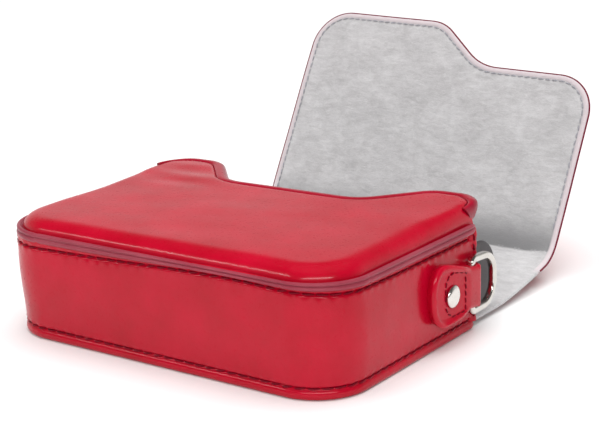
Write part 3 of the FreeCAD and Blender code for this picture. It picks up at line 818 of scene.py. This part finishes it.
def pad_top(points):
    """Height of the padded front where nothing pulls it down: a soft crown with slack waves."""
    x, y = points[:, 0], points[:, 1]
    crown = 0.35 * (1 - (x / SIDE) ** 2) * (1 - ((y - 3) / 48) ** 2)
    flat = np.column_stack((x * 0.55, y, np.zeros(len(x))))
    swell = 0.34 * rough(flat, 26.0) + 0.12 * rough(flat, 11.0)
    slanted = np.column_stack((x * 0.35 + y * 0.2, y - x * 0.12, np.ones(len(x))))
    folds = rough(slanted, 8.0) * bump(x + 38, 22) * bump(y - 26, 17)
    return FRONT_TOP + tilt(x, y) + np.clip(crown, 0, 1) + swell + 0.5 * folds


def pad_drop(away, depth, reach):
    """How far a rolled edge has fallen at that distance in from it."""
    return depth * (1 - np.sqrt(1 - (1 - np.clip(away / reach, 0.0, 1)) ** 2.2))


def add_pad():
    """Leather over foam, rolled down to the piping and tucked into the lip's seam."""
    mouth = OPENING - 0.5
    side, foot = PAD_SIDE + 0.5, PAD_FOOT - 0.5
    corners = [(-side, mouth, 0), (-side, foot, CORNER - 0.5), (side, foot, CORNER - 0.5), (side, mouth, 0)]
    rolled = rounded(corners, 0.62, closed=False)
    seam = lip_seam(0.62)
    points, faces, rim, _ = panel(
        np.vstack((rolled, seam)),
        (0.03, 0.12, 0.3, 0.6, 1.0, 1.6, 2.4, 3.4, 4.6, 5.8),
        1.25,
    )
    to_roll = nearest(points, rolled)
    to_seam = nearest(points, seam)
    reach = 5.4 - 2.4 * smooth_step((points[:, 1] - 8) / 22)
    spots = np.column_stack((points, points[:, 0]))
    along = np.arctan2(points[:, 1], points[:, 0]) * 60
    gathers = 0.025 * np.sin(2 * math.pi * along / 5.3 + 2 * rough(spots, 9.0)) * bump(to_roll - 1.0, 0.8)
    gathers += 0.02 * rough(spots, 1.6, 2) * bump(to_roll - 1.2, 1.5)
    top = pad_top(points)
    drop = np.maximum(pad_drop(to_roll, 1.0, reach) * (top - FLANGE_TOP), pad_drop(to_seam, 1.0, 1.6))
    z = np.maximum(top - drop + gathers, FLANGE_TOP + 0.15)
    upper = np.column_stack((points, z))
    lower = np.column_stack((points, np.full(len(points), FLANGE_TOP + 0.05)))
    vertices, faces = two_sided(settled(upper), settled(lower), faces, rim)
    piece = build("padded_front", vertices, faces, "red_leather", sharp=75)
    fit(piece, "front_leather", "front_foam")


def nearest(points, cloud):
    """Each point's distance to the nearest of a set of outline points."""
    found = []
    for part in in_parts(points):
        found.append(np.linalg.norm(part[:, None] - cloud[None], axis=2).min(1))
    return np.concatenate(found)


def lip_line(step):
    """The lip's outer edge from the right notch round both lobes to the left notch, with normals."""
    half = [
        (LIP_SIDE, OPENING - 4.4, 0),
        (LIP_SIDE, LIP_TOP, LOBE_RADIUS),
        (LOBE_CORNER, LIP_TOP, LOBE_RADIUS + 2.5),
        (LOBE_CORNER - SCOOP_RUN, LIP_TOP - SCOOP_DEPTH, SCOOP_RADIUS),
    ]
    corners = half + [(-x, y, r) for x, y, r in reversed(half)]
    points = rounded(corners, step, closed=False)
    return points, outward(points, closed=False)


def from_end(path):
    """Distance from each point of a path to its nearer end."""
    along = lengths(path)
    return np.minimum(along, along[-1] - along)


def lip_width(left):
    """The edging's width: a narrow tongue beside the notch that widens on to the lobe."""
    return 4.0 * (0.42 + 0.58 * smooth_step(left / 13.0))


def lip_seam(step):
    """The seam between the edging and the padded front."""
    path, normals = lip_line(step)
    return path - normals * lip_width(from_end(path))[:, None]


# (Out in shares of the edging's width, up from COLLAR_RISE over its CAD top) round the edging's section.
COLLAR_RISE = 0.5
COLLAR_SECTION = [
    (-1.04, -2.2), (-1.0, -1.1), (-0.98, -0.35), (-0.9, -0.03), (-0.7, 0.1), (-0.46, 0.05),
    (-0.28, -0.14), (-0.13, -0.5), (-0.03, -1.05), (0.0, -1.7), (-0.02, -2.4), (-0.1, -3.1),
    (-0.25, -3.7), (-0.5, -4.3), (-0.8, -4.9), (-1.04, -5.3),
]


def add_collar():
    """Smooth leather edging round the lobes and the scoop, with its row of stitches in the seam."""
    path, normals = lip_line(0.6)
    left = from_end(path)
    forward = np.gradient(path, axis=0)
    forward /= np.linalg.norm(forward, axis=1)[:, None]
    forward[len(path) // 2 :] *= -1
    rings = []
    for point, normal, s, width, ahead in zip(path, normals, left, lip_width(left), forward):
        end = 1 - smooth_step(s / 9.0)
        lift = tilt(*point) + (0.35 if point[0] < 0 else -0.75) * end
        ring = []
        for out, up in COLLAR_SECTION:
            round_over = 0.25 * end * bump(out + 0.1, 0.25)
            slant = 0.77 * max(0.0, -up) * end
            spot = point + normal * (out * width) + ahead * slant
            share = smooth_step((up + 5.3) / 4.0)
            ring.append((*spot, COLLAR_TOP + COLLAR_RISE + up + lift * share - round_over))
        rings.append(ring)
    # Painted shade: the edging's whole top is darkened 0.35 towards the edge colour; its outer side goes to
    # 0.65, partly a real burnished edge.
    burnish_and_shade = np.array([0.35 + 0.3 * smooth_step((out + 0.5) / 0.3) for out, _ in COLLAR_SECTION])
    values = {"edge": np.tile(burnish_and_shade, len(rings))}
    piece = build("lip_collar", *loft(rings), "red_leather", sharp=60, values=values)
    fit(piece, "front_collar")
    line = lip_seam(0.6)
    line = line[3:-3]
    heights = COLLAR_TOP - 0.22 + tilt(line[:, 0], line[:, 1])
    ups = np.tile((0.0, 0.0, 1.0), (len(line), 1))
    points = np.column_stack((line, heights))
    row = stitch_row("collar_stitches", points, ups, 2.5, 2.35, 0.26, "thread_red", 0.05)
    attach(row, "case")


# ---------------------------------------------------------------- back, strip and flap


def fold_reach(across):
    """Half the length of the second fold's bend: crisp in the middle and soft at the edges."""
    return 0.6 + 6.4 * smooth_step((np.abs(across) - 46) / 12.0)


def folded(across, along, height):
    """From the flat pattern to the open flap. Along runs from the first fold, height up from the lining."""
    y = FOLD_1[0] + along
    z = np.full(len(along), FOLD_1[1])
    up_y, up_z = np.zeros(len(along)), np.ones(len(along))
    first = (FOLD_1, 0.0, 0.0, TILT, np.full(len(along), 4.0))
    second = (FOLD_2, STRIP, TILT, UPRIGHT, fold_reach(across))
    for fold, place_along, before, after, reach in (first, second):
        turn = after - before
        radius = reach / math.tan(turn / 2)
        share = np.clip((along - place_along + reach) / (2 * reach), 0, 1)
        angle = before + turn * share
        first_y = fold[0] - reach * math.cos(before)
        first_z = fold[1] - reach * math.sin(before)
        centre_y = first_y - radius * math.sin(before)
        centre_z = first_z + radius * math.cos(before)
        beyond = np.maximum(along - place_along - reach, 0)
        bent = along > place_along - reach
        new_y = centre_y + radius * np.sin(angle) + beyond * math.cos(after)
        new_z = centre_z - radius * np.cos(angle) + beyond * math.sin(after)
        y, z = np.where(bent, new_y, y), np.where(bent, new_z, z)
        up_y, up_z = np.where(bent, -np.sin(angle), up_y), np.where(bent, np.cos(angle), up_z)
    return np.column_stack((across, y + height * up_y, z + height * up_z))


SPLIT = STRIP / 2       # the strip's halves belong to different pieces and meet here


def flap_corners():
    """The flap's outline on the flat pattern, from the strip's middle. Its short side is narrower."""
    end = STRIP + FLAP_LONG
    short = STRIP + FLAP_SHORT
    side = FLAP_SIDE - 1.5
    return [
        (FLAP_SIDE, SPLIT, 0),
        (side, STRIP + 5, 20),
        (side, short, FLAP_CORNER),
        (FLAP_STEP[1], short + 0.9, FLAP_STEP_RADIUS + 5),
        (FLAP_STEP[0], end - 1.3, FLAP_STEP_RADIUS),
        (-FLAP_SIDE, end, FLAP_CORNER),
        (-FLAP_SIDE, SPLIT, 0),
    ]


def back_corners():
    """The back's outline on the flat pattern, up to the strip's middle. The edge roll covers its rim."""
    foot = BACK_FOOT - FOLD_1[0] + 1.2
    mouth = OPENING - FOLD_1[0]
    side = BACK_SIDE - 1.2
    right = [(side, foot, CORNER - 1.8), (side, mouth - 6, 8), (BACK_SIDE, mouth, 8), (BACK_SIDE, SPLIT, 0)]
    return right + [(-x, y, r) for x, y, r in reversed(right)]


def sway(across, along):
    """Slow unevenness that the leather and the lining of the flap share."""
    spots = np.column_stack((across, along, np.zeros(len(along))))
    free = smooth_step((along - STRIP - 8) / 30)
    return 0.5 * free * rough(spots, 45.0) + 0.12 * smooth_step((along - 3) / 8) * rough(spots, 16.0)


def crease_points():
    """Extra points either side of the second fold."""
    offsets = (0.15, 0.35, 0.65, 1.1, 1.7, 2.5, 3.6, 5.0, 6.6)
    lines = [0.0, *offsets, *[-o for o in offsets]]
    return [(x, STRIP + o) for o in lines for x in np.arange(-57.0, 57.5, 1.2)]


def is_cut(outline):
    """Marks the points on the cut in the middle of the strip."""
    return np.abs(outline[:, 1] - SPLIT) < 1e-6


def drawn_in(outline, distance):
    """The outline's points moved inwards. The cut in the middle of the strip only gets narrower."""
    moved = outline - outward(outline) * distance
    cut = is_cut(outline)
    half = np.abs(outline[:, 0]).max()
    moved[cut] = outline[cut] * ((half - distance) / half, 1)
    return moved


def on_strip(along):
    """1 on the strip and 0 on the flap proper."""
    return 1 - smooth_step((along - STRIP + 15) / 5)


def painted_fold_shade(along):
    """How strongly painted shade darkens the flap's lining beside the second fold."""
    beyond = along - STRIP
    return smooth_step(beyond / 0.5) * (1 - smooth_step((beyond - 1.0) / 17.0)) ** 1.3


def tucked(flat):
    """Narrows the strip's outer leather, whose edge hides under the lining's."""
    return flat * np.column_stack((1 - 0.06 * on_strip(flat[:, 1]), np.ones(len(flat))))


def untouched(flat):
    """Leaves a flat pattern as wide as it is."""
    return flat


def sheet_piece(
    name, corners, edge, faces_at, insets, step, extra, slot, relief, narrow=untouched, deep=0.0
):
    """A closed sheet. Its turned edge is (inset, height) pairs from the outer face round to the inner."""
    outline = rounded(corners, 0.8)
    points, faces, rim, _ = panel(drawn_in(outline, edge[0][0]), insets, step, extra)
    away = nearest(points, outline[~is_cut(outline)])
    points = narrow(points)
    across, along = points.T
    shared = sway(across, along)
    outer = folded(across, along, faces_at[0] + shared + relief(points, away))
    inner = folded(across, along, faces_at[1] + shared)
    rings = []
    for depth, height in edge[1:]:
        across, along = narrow(drawn_in(outline, depth)).T
        heights = height * (1 + deep * on_strip(along)) + sway(across, along)
        rings.append(folded(across, along, heights))
    vertices, faces = two_sided(outer, inner, faces, rim, rings)
    border = smooth_step((2.15 - away) / 0.5) * (1 - on_strip(points[:, 1]))
    # Painted shade on the lining beside the second fold.
    painted_shade = painted_fold_shade(points[:, 1])
    painted_shade_rim = np.tile(painted_fold_shade(outline[:, 1]), len(rings))
    edges = np.tile(1 - on_strip(outline[:, 1]), len(rings))
    bare = edges * np.repeat([1.0 if depth < 0.7 else 0.0 for depth, _ in edge[1:]], len(outline))
    faced = np.zeros(2 * len(border))
    values = {
        "border": np.concatenate((border, border, edges)),
        "edge": np.concatenate((faced, bare)),
        "painted_shade": np.concatenate((painted_shade, painted_shade, painted_shade_rim)),
    }
    return build(name, vertices, faces, slot, sharp=75, values=values)


HIDE_EDGE = [
    (2.6, -2.6), (1.9, -2.5), (1.2, -2.15), (0.6, -1.6), (0.1, -1.2),
    (-0.2, -0.9), (-0.32, -0.62), (-0.22, -0.4), (-0.05, -0.34), (0.4, -0.5),
]
LINING_EDGE = [(0.8, -0.02), (0.45, -0.12), (0.2, -0.38), (0.12, -0.75), (0.2, -1.0), (0.5, -1.1)]
BOARD_EDGE = [(1.9, -0.62), (1.7, -0.8), (1.7, -1.1), (1.9, -1.26)]


def hide_relief(points, away):
    """Slight unevenness of the outer leather."""
    return 0.05 * rough(np.column_stack((points, points[:, 0])), 7.0, 2) * smooth_step((away - 2.4) / 3)


def lining_relief(points, away):
    """Raised nap inside a seam groove."""
    plush = 0.05 * rough(np.column_stack((points * (1, 0.7), points[:, 0])), 4.2, 2) + 0.1
    beyond = away - FLAP_SEAM
    groove = 0.3 * bump(beyond, 0.45) * (1 - on_strip(points[:, 1]))
    return plush * smooth_step(beyond / 2) - groove


def flat_relief(points, away):
    """No relief, for the boards."""
    return 0.0 * away


def add_hides():
    """The outer leather in two lengths, each bent across one fold."""
    lengths_cut = (
        ("back_hide", back_corners(), (), ("back_leather",), bend_first, 4.5),
        ("flap_hide", flap_corners(), crease_points(), ("flap_leather", "strip_leather"), bend_second, 3.0),
    )
    skins = (-WALL, -1.3)
    for name, corners, extra, nodes, bend, reach in lengths_cut:
        hide = sheet_piece(
            name, corners, HIDE_EDGE, skins, (1.2, 2.6), 1.9, extra, "red_leather", hide_relief, tucked, -0.35
        )
        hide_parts(*nodes)
        bend(hide, reach)


def add_linings():
    """The napped lining in two lengths, each bent across one fold."""
    rows = (0.6, 1.1, 1.35, 1.65, 2.1, 2.8, 3.8)
    sides = (0.0, -0.55)
    foot = FOOT + WALL + 0.1 - FOLD_1[0]
    inner = SIDE - WALL - 0.05
    mouth = OPENING - FOLD_1[0] + 0.3
    right = [(inner, foot, CORNER - WALL), (inner, mouth, 0), (FLAP_SIDE, mouth, 0), (FLAP_SIDE, SPLIT, 0)]
    floor = right + [(-x, y, r) for x, y, r in reversed(right)]
    creased = crease_points()
    lengths_cut = (
        ("back_lining_cloth", floor, (), ("back_lining",), bend_first, 3.0),
        ("flap_lining_cloth", flap_corners(), creased, ("flap_lining", "strip_lining"), bend_second, 1.8),
    )
    for name, corners, extra, nodes, bend, reach in lengths_cut:
        cloth = sheet_piece(
            name, corners, LINING_EDGE, sides, rows, 1.5, extra, "microfibre", lining_relief
        )
        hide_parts(*nodes)
        bend(cloth, reach)


def add_boards():
    """Stiffeners between the leather and the lining: in the back, in the strip and in the flap."""
    side = FLAP_SIDE - 3.5
    foot = BACK_FOOT - FOLD_1[0] + 2.5
    back = [(side, foot, CORNER - 3), (side, -1.5, 0), (-side, -1.5, 0), (-side, foot, CORNER - 3)]
    strip = [(side, 1.5, 0), (side, STRIP - 1.5, 0), (-side, STRIP - 1.5, 0), (-side, 1.5, 0)]
    flap = [(x, y, r) for x, y, r in flap_corners() if y > STRIP + 10]
    flap = [(FLAP_SIDE - 1.5, STRIP + 2.0, 10), *flap, (-FLAP_SIDE, STRIP + 2.0, 10)]
    for name, corners, cad, body in (
        ("back_stiffener", back, "back_board", "case"),
        ("strip_stiffener", strip, "strip_board", "flap_top"),
        ("flap_stiffener", flap, "flap_board", "flap_front"),
    ):
        board = sheet_piece(
            name, corners, BOARD_EDGE, (-0.62, -1.26), (1.5,), 3.5, (), "stiffener", flat_relief
        )
        fit(board, cad, body=body)


def bend_first(piece, reach):
    """Bakes the transform of a piece that lies across the fold between the back and the strip into its mesh.
    """
    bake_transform(piece)


def bend_second(piece, reach):
    """Bakes the transform of a piece that lies across the fold between the strip and the flap into its mesh.
    """
    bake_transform(piece)


def add_flap_stitches():
    """Stitches along the flap's border, grey on the lining and red on the leather."""
    line = rounded(inset(flap_corners(), FLAP_SEAM), 0.6)
    across, along = line[line[:, 1] > STRIP + 7.5].T
    rows = (("inside", -0.1, 1, "thread_grey"), ("outside", 0.2 - WALL, -1, "thread_red"))
    for side, height, sign, slot in rows:
        level = height + sway(across, along)
        points = folded(across, along, level)
        ups = (folded(across, along, level + 0.1) - points) * 10 * sign
        row = stitch_row(f"flap_stitches_{side}", points, ups, 2.6, 2.0, 0.2, slot, 0.06)
        if sign > 0:
            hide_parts("flap_thread")
        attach(row, "flap_front")


# ---------------------------------------------------------------- strap tabs, rings and rivets


TAB_BROAD = 10.8
TAB_NARROW = 6.3
TAB_LEAN = 0.074
TAB_ROUND = 8.6         # length of the round sewn end
RING_BAR = RING_LOW[1] + WIRE
TAB_NECK = RING_BAR - 3.5
TAB_HALF = (TAB_FACE - SIDE) / 2
TAB_NOSE = box("strap_tab_right")[1][1] - TAB_HALF


def tab_half_width(y):
    """Half the tab's width: a round sewn end that tapers to the ring."""
    taper = np.clip((TAB_NECK - y) / (TAB_NECK - TAB_START), 0, 1) ** 0.8
    round_end = np.sqrt(np.maximum(0.0, 1 - (1 - np.clip((y - TAB_START) / TAB_ROUND, 0, 1)) ** 2.3))
    return (TAB_NARROW + (TAB_BROAD - TAB_NARROW) * taper) * np.maximum(round_end, 0.04)


def tab_thinning(y):
    """The strap is thinner at its sewn end than at the ring."""
    return 1.6 * (1 - smooth_step((y - TAB_START) / 16.0))


def tab_pad(y):
    """1 along the tab's padded part, and 0 from there to the ring."""
    return 1 - smooth_step((y - TAB_START - 14.0) / 5.0)


def tab_rows():
    """Stations along the tab, close together in its round end and in the loop's nose."""
    turn = 1 - np.cos(np.linspace(0, math.pi / 2, 16))
    nose = TAB_HALF * np.sin(np.linspace(0.12, math.pi / 2, 12))
    middle = np.linspace(TAB_START + TAB_ROUND + 0.8, TAB_NOSE, 23)
    return np.concatenate((TAB_START + TAB_ROUND * turn, middle, TAB_NOSE + nose))


def tab_fall(y):
    """How far the loop's round nose has fallen away from the tab's faces."""
    return TAB_HALF - np.sqrt(np.maximum(0.0, TAB_HALF**2 - np.maximum(0.0, y - TAB_NOSE) ** 2))


def tab_top(points):
    """The tab's outer face: a padded rim, a sunken middle with the rivet's dimple, and the loop's nose."""
    rows = tab_rows()
    widths = tab_half_width(rows)
    right = np.column_stack((rows, widths))
    outline = np.vstack((right, right[::-1] * (1, -1)))
    away = distance_to(points, outline)
    y, z = points.T
    rim = tab_pad(y)
    sunk = 0.95 * rim * smooth_step((away - 1.2) / 0.9) + 0.12 * (1 - rim)
    edge = 1.1 * (1 - np.sqrt(1 - (1 - np.clip(away / 1.3, 0, 1)) ** 2)) * np.where(y > TAB_NOSE, 0.35, 1.0)
    dimple = 0.35 * np.exp(-(((y - RIVET_Y) ** 2 + (z + RIVET_DROP) ** 2) / 3.7**2) ** 3) * rim
    return TAB_FACE + 0.25 * rim - tab_thinning(y) - sunk - edge - tab_fall(y) - dimple


def add_tab():
    """Thick folded strap tab: padded rim, sunken face for the rivet, and the loop that holds the ring."""
    rows = tab_rows()
    count = 27
    shares = np.sin(np.linspace(-1, 1, count) * math.pi / 2)
    depth = np.linspace(0, 1, 7)[1:-1]
    swell = 0.12 * np.sin(depth * math.pi)
    rings = []
    for y, width in zip(rows, tab_half_width(rows)):
        face = np.column_stack((np.full(count, y), shares * width))
        top = tab_top(face)
        fall = tab_fall(y)
        base = SIDE - 0.35 + (fall if fall > 0.35 else 0)
        cut = 1.2 * tab_pad(y)
        start = y + cut * (1 - smooth_step((y - TAB_START) / 8.0)) * np.array((*depth, 1.0))
        slim = max(0.3, width - cut)
        right = [
            (top[-1] + (base - top[-1]) * d, a, width + (slim - width) * d + s)
            for d, s, a in zip(depth, swell, start)
        ]
        left = [(x, a, -b) for x, a, b in reversed(right)]
        under = [(base, start[-1], slim * s) for s in np.linspace(1, -1, 9)]
        upper = [(x, y, z) for x, z in zip(top, face[:, 1])]
        loop = upper + right + under + left
        rings.append([(x, a, TAB_LEVEL + b + TAB_LEAN * (RING_BAR - a)) for x, a, b in loop])
    piece = build("tab_right", *loft(rings), "red_leather")
    bore(piece, (RING_X, RING_BAR, TAB_LEVEL), 1.2 * WIRE + 0.06, 40.0)
    piece.data.set_sharp_from_angle(angle=math.radians(50))
    fit_pair(piece, "tab_left", "strap_tab")


def bore(piece, centre, radius, length):
    """Drills an upright round hole through a piece."""
    spot = [c * MM for c in centre]
    bpy.ops.mesh.primitive_cylinder_add(vertices=32, radius=radius * MM, depth=length * MM, location=spot)
    drill = bpy.context.object
    cutter = piece.modifiers.new("bore", "BOOLEAN")
    cutter.operation = "DIFFERENCE"
    cutter.object = drill
    graph = bpy.context.evaluated_depsgraph_get()
    cut = bpy.data.meshes.new_from_object(piece.evaluated_get(graph))
    piece.modifiers.clear()
    piece.data = cut
    bpy.data.objects.remove(drill)


def add_tab_stitches():
    """A closed D of stitches round each rivet."""
    near, far, tall = RIVET_Y - 3.6, RIVET_Y + 5.6, 7.0
    corners = [(near, -tall, 3.8), (far, -tall * 0.8, 0.6), (far, tall * 0.8, 0.6), (near, tall, 3.8)]
    line = rounded(corners, 0.4)
    line = np.vstack((line, line[:1]))
    for name, sign in (("right", 1), ("left", -1)):
        face = tab_top(line) + 0.04
        levels = TAB_LEVEL + line[:, 1] + TAB_LEAN * (RING_BAR - line[:, 0])
        points = np.column_stack((sign * face, line[:, 0], levels))
        ups = np.tile((float(sign), 0.0, 0.0), (len(line), 1))
        row = stitch_row(f"tab_stitches_{name}", points, ups, 2.1, 1.8, 0.2, "thread_red", 0.1)
        fit(row, f"tab_thread_{name}")


def add_rings():
    """Polished D rings of slightly squared wire."""
    low, high = RING_LOW[2] + WIRE, RING_HIGH[2] - WIRE
    far = RING_HIGH[1] - WIRE
    bow = (high - low) / 2 - 1.4
    corners = [(RING_BAR, low, 1.3), (far, low, bow), (far, high - 0.9, bow), (RING_BAR, high, 1.3)]
    path = rounded(corners, 0.35)
    normals = outward(path)
    angles = 2 * math.pi * (np.arange(28) + 0.5) / 28
    power = 2 / 3.6
    flat = np.column_stack((np.cos(angles), np.sin(angles)))
    section = np.sign(flat) * np.abs(flat) ** power * WIRE
    section = section / np.abs(section).max() * (WIRE - 0.08)
    rings = [
        [(RING_X + across, *(point + normal * out)) for out, across in section]
        for point, normal in zip(path, normals)
    ]
    piece = build("ring_right_metal", *loft(rings, closed_path=True), "ring_metal")
    fit_pair(piece, "ring_left_metal", "d_ring", ("ring_right", "ring_left"))


# (Radius, out from the tab's face) down the cap and its shank, for a node whose radius is RIVET_DRAWN. The
# visible cap is 0.87 of the CAD cap's width.
RIVET_DRAWN = 4.4
RIVET_PROFILE = [
    (0.0, 0.86), (0.9, 0.85), (1.9, 0.80), (2.7, 0.70), (3.3, 0.52), (3.65, 0.32),
    (3.82, 0.10), (3.84, -0.15), (3.7, -0.4), (1.62, -0.55), (1.60, -7.3), (0.0, -7.3),
]


def add_rivets():
    """Domed rivet caps with their shanks."""
    face = TAB_FACE - 0.7 - tab_thinning(RIVET_Y)
    level = TAB_LEVEL - RIVET_DROP + TAB_LEAN * (RING_BAR - RIVET_Y)
    count = 48
    angles = 2 * math.pi * np.arange(count) / count
    rings = []
    for radius, out in RIVET_PROFILE:
        size = max(radius, 0.01) * RIVET_RADIUS / RIVET_DRAWN
        rings.append([(face + out, RIVET_Y + size * math.cos(a), level + size * math.sin(a)) for a in angles])
    piece = build("rivet_cap_right", *loft(rings), "rivet_metal", sharp=55)
    fit_pair(piece, "rivet_cap_left", "rivet")


# ---------------------------------------------------------------- finishes of the nodes that stay


def finish_nodes():
    """Better materials for the CAD nodes that still show."""
    finishes = {
        "microfibre": ("wall_lining", "front_lining"),
        "stiffener": ("wall_board", "front_board"),
        "rivet_metal": ("rivet_base_right", "rivet_base_left"),
        "closure_iron": ("keeper_left", "keeper_right", "flap_magnet_left", "flap_magnet_right"),
    }
    for look, names in finishes.items():
        for name in names:
            mesh = frame["nodes"][name].data
            mesh.materials.clear()
            mesh.materials.append(LOOKS[look])


# ---------------------------------------------------------------- studio


def add_floor():
    """Plain pale floor."""
    mesh = bpy.data.meshes.new("floor")
    size = 4.0
    corners = [(-size, -size, 0), (size, -size, 0), (size, size, 0), (-size, size, 0)]
    mesh.from_pydata(corners, [], [(0, 1, 2, 3)])
    floor = bpy.data.objects.new("floor", mesh)
    floor.location.z = -0.00005
    bpy.context.scene.collection.objects.link(floor)
    new_material("floor", Base_Color=(0.92, 0.915, 0.915, 1), Roughness=0.8, Specular_IOR_Level=0.2)
    mesh.materials.append(LOOKS["floor"])


def add_light(name, place_mm, target_mm, size_mm, watts):
    """A soft rectangular light aimed at a point."""
    data = bpy.data.lights.new(name, "AREA")
    data.shape = "RECTANGLE"
    data.size, data.size_y = size_mm[0] * MM, size_mm[1] * MM
    data.energy = watts
    light = bpy.data.objects.new(name, data)
    aim = (Vector(target_mm) - Vector(place_mm)).to_track_quat("-Z", "Y")
    light.matrix_world = Matrix.Translation(Vector(place_mm) * MM) @ aim.to_matrix().to_4x4()
    bpy.context.scene.collection.objects.link(light)


def add_studio():
    """A pale studio behind the case, a dim room in front of it, and soft boxes."""
    world = bpy.data.worlds.new("studio")
    bpy.context.scene.world = world
    world.use_nodes = True
    tree = world.node_tree
    direction = node(tree, "ShaderNodeTexCoord").outputs["Generated"]
    dot = {"operation": "DOT_PRODUCT"}
    facing = node(tree, "ShaderNodeVectorMath", dot, i0=direction, i1=(-0.577, 0.816, 0.0))
    height = node(tree, "ShaderNodeSeparateXYZ", Vector=direction).outputs["Z"]
    behind = spread(tree, facing.outputs["Value"], -0.3, 0.35)
    low = spread(tree, height, 0.62, 0.18)
    pale = calculate(tree, "MULTIPLY", behind, low)
    strength = calculate(tree, "ADD", calculate(tree, "MULTIPLY", pale, 0.68), 0.10)
    background = tree.nodes["Background"]
    background.inputs["Color"].default_value = (1.0, 0.99, 0.985, 1)
    tree.links.new(strength, background.inputs["Strength"])
    add_light("key_box", (520, -680, 480), (0, 0, 20), (950, 80), 4.6)
    add_light("left_strip", (-620, -800, 620), (0, -10, 30), (560, 60), 2.2)
    ceiling = bpy.data.lights.new("ceiling", "SUN")
    ceiling.energy = 3.1
    ceiling.angle = math.radians(70)
    lamp = bpy.data.objects.new("ceiling", ceiling)
    lamp.rotation_euler = Vector((0.02, 0.14, 0.99)).to_track_quat("Z", "Y").to_euler()
    lamp.visible_glossy = False
    bpy.context.scene.collection.objects.link(lamp)


bpy.context.scene.view_settings.view_transform = "Standard"
add_floor()
add_studio()
add_wall()
add_wall_seams()
add_back_roll()
add_piping()
add_binding()
add_ears()
add_pad()
add_collar()
add_hides()
add_linings()
add_boards()
add_flap_stitches()
add_tab()
add_tab_stitches()
add_rings()
add_rivets()
finish_nodes()
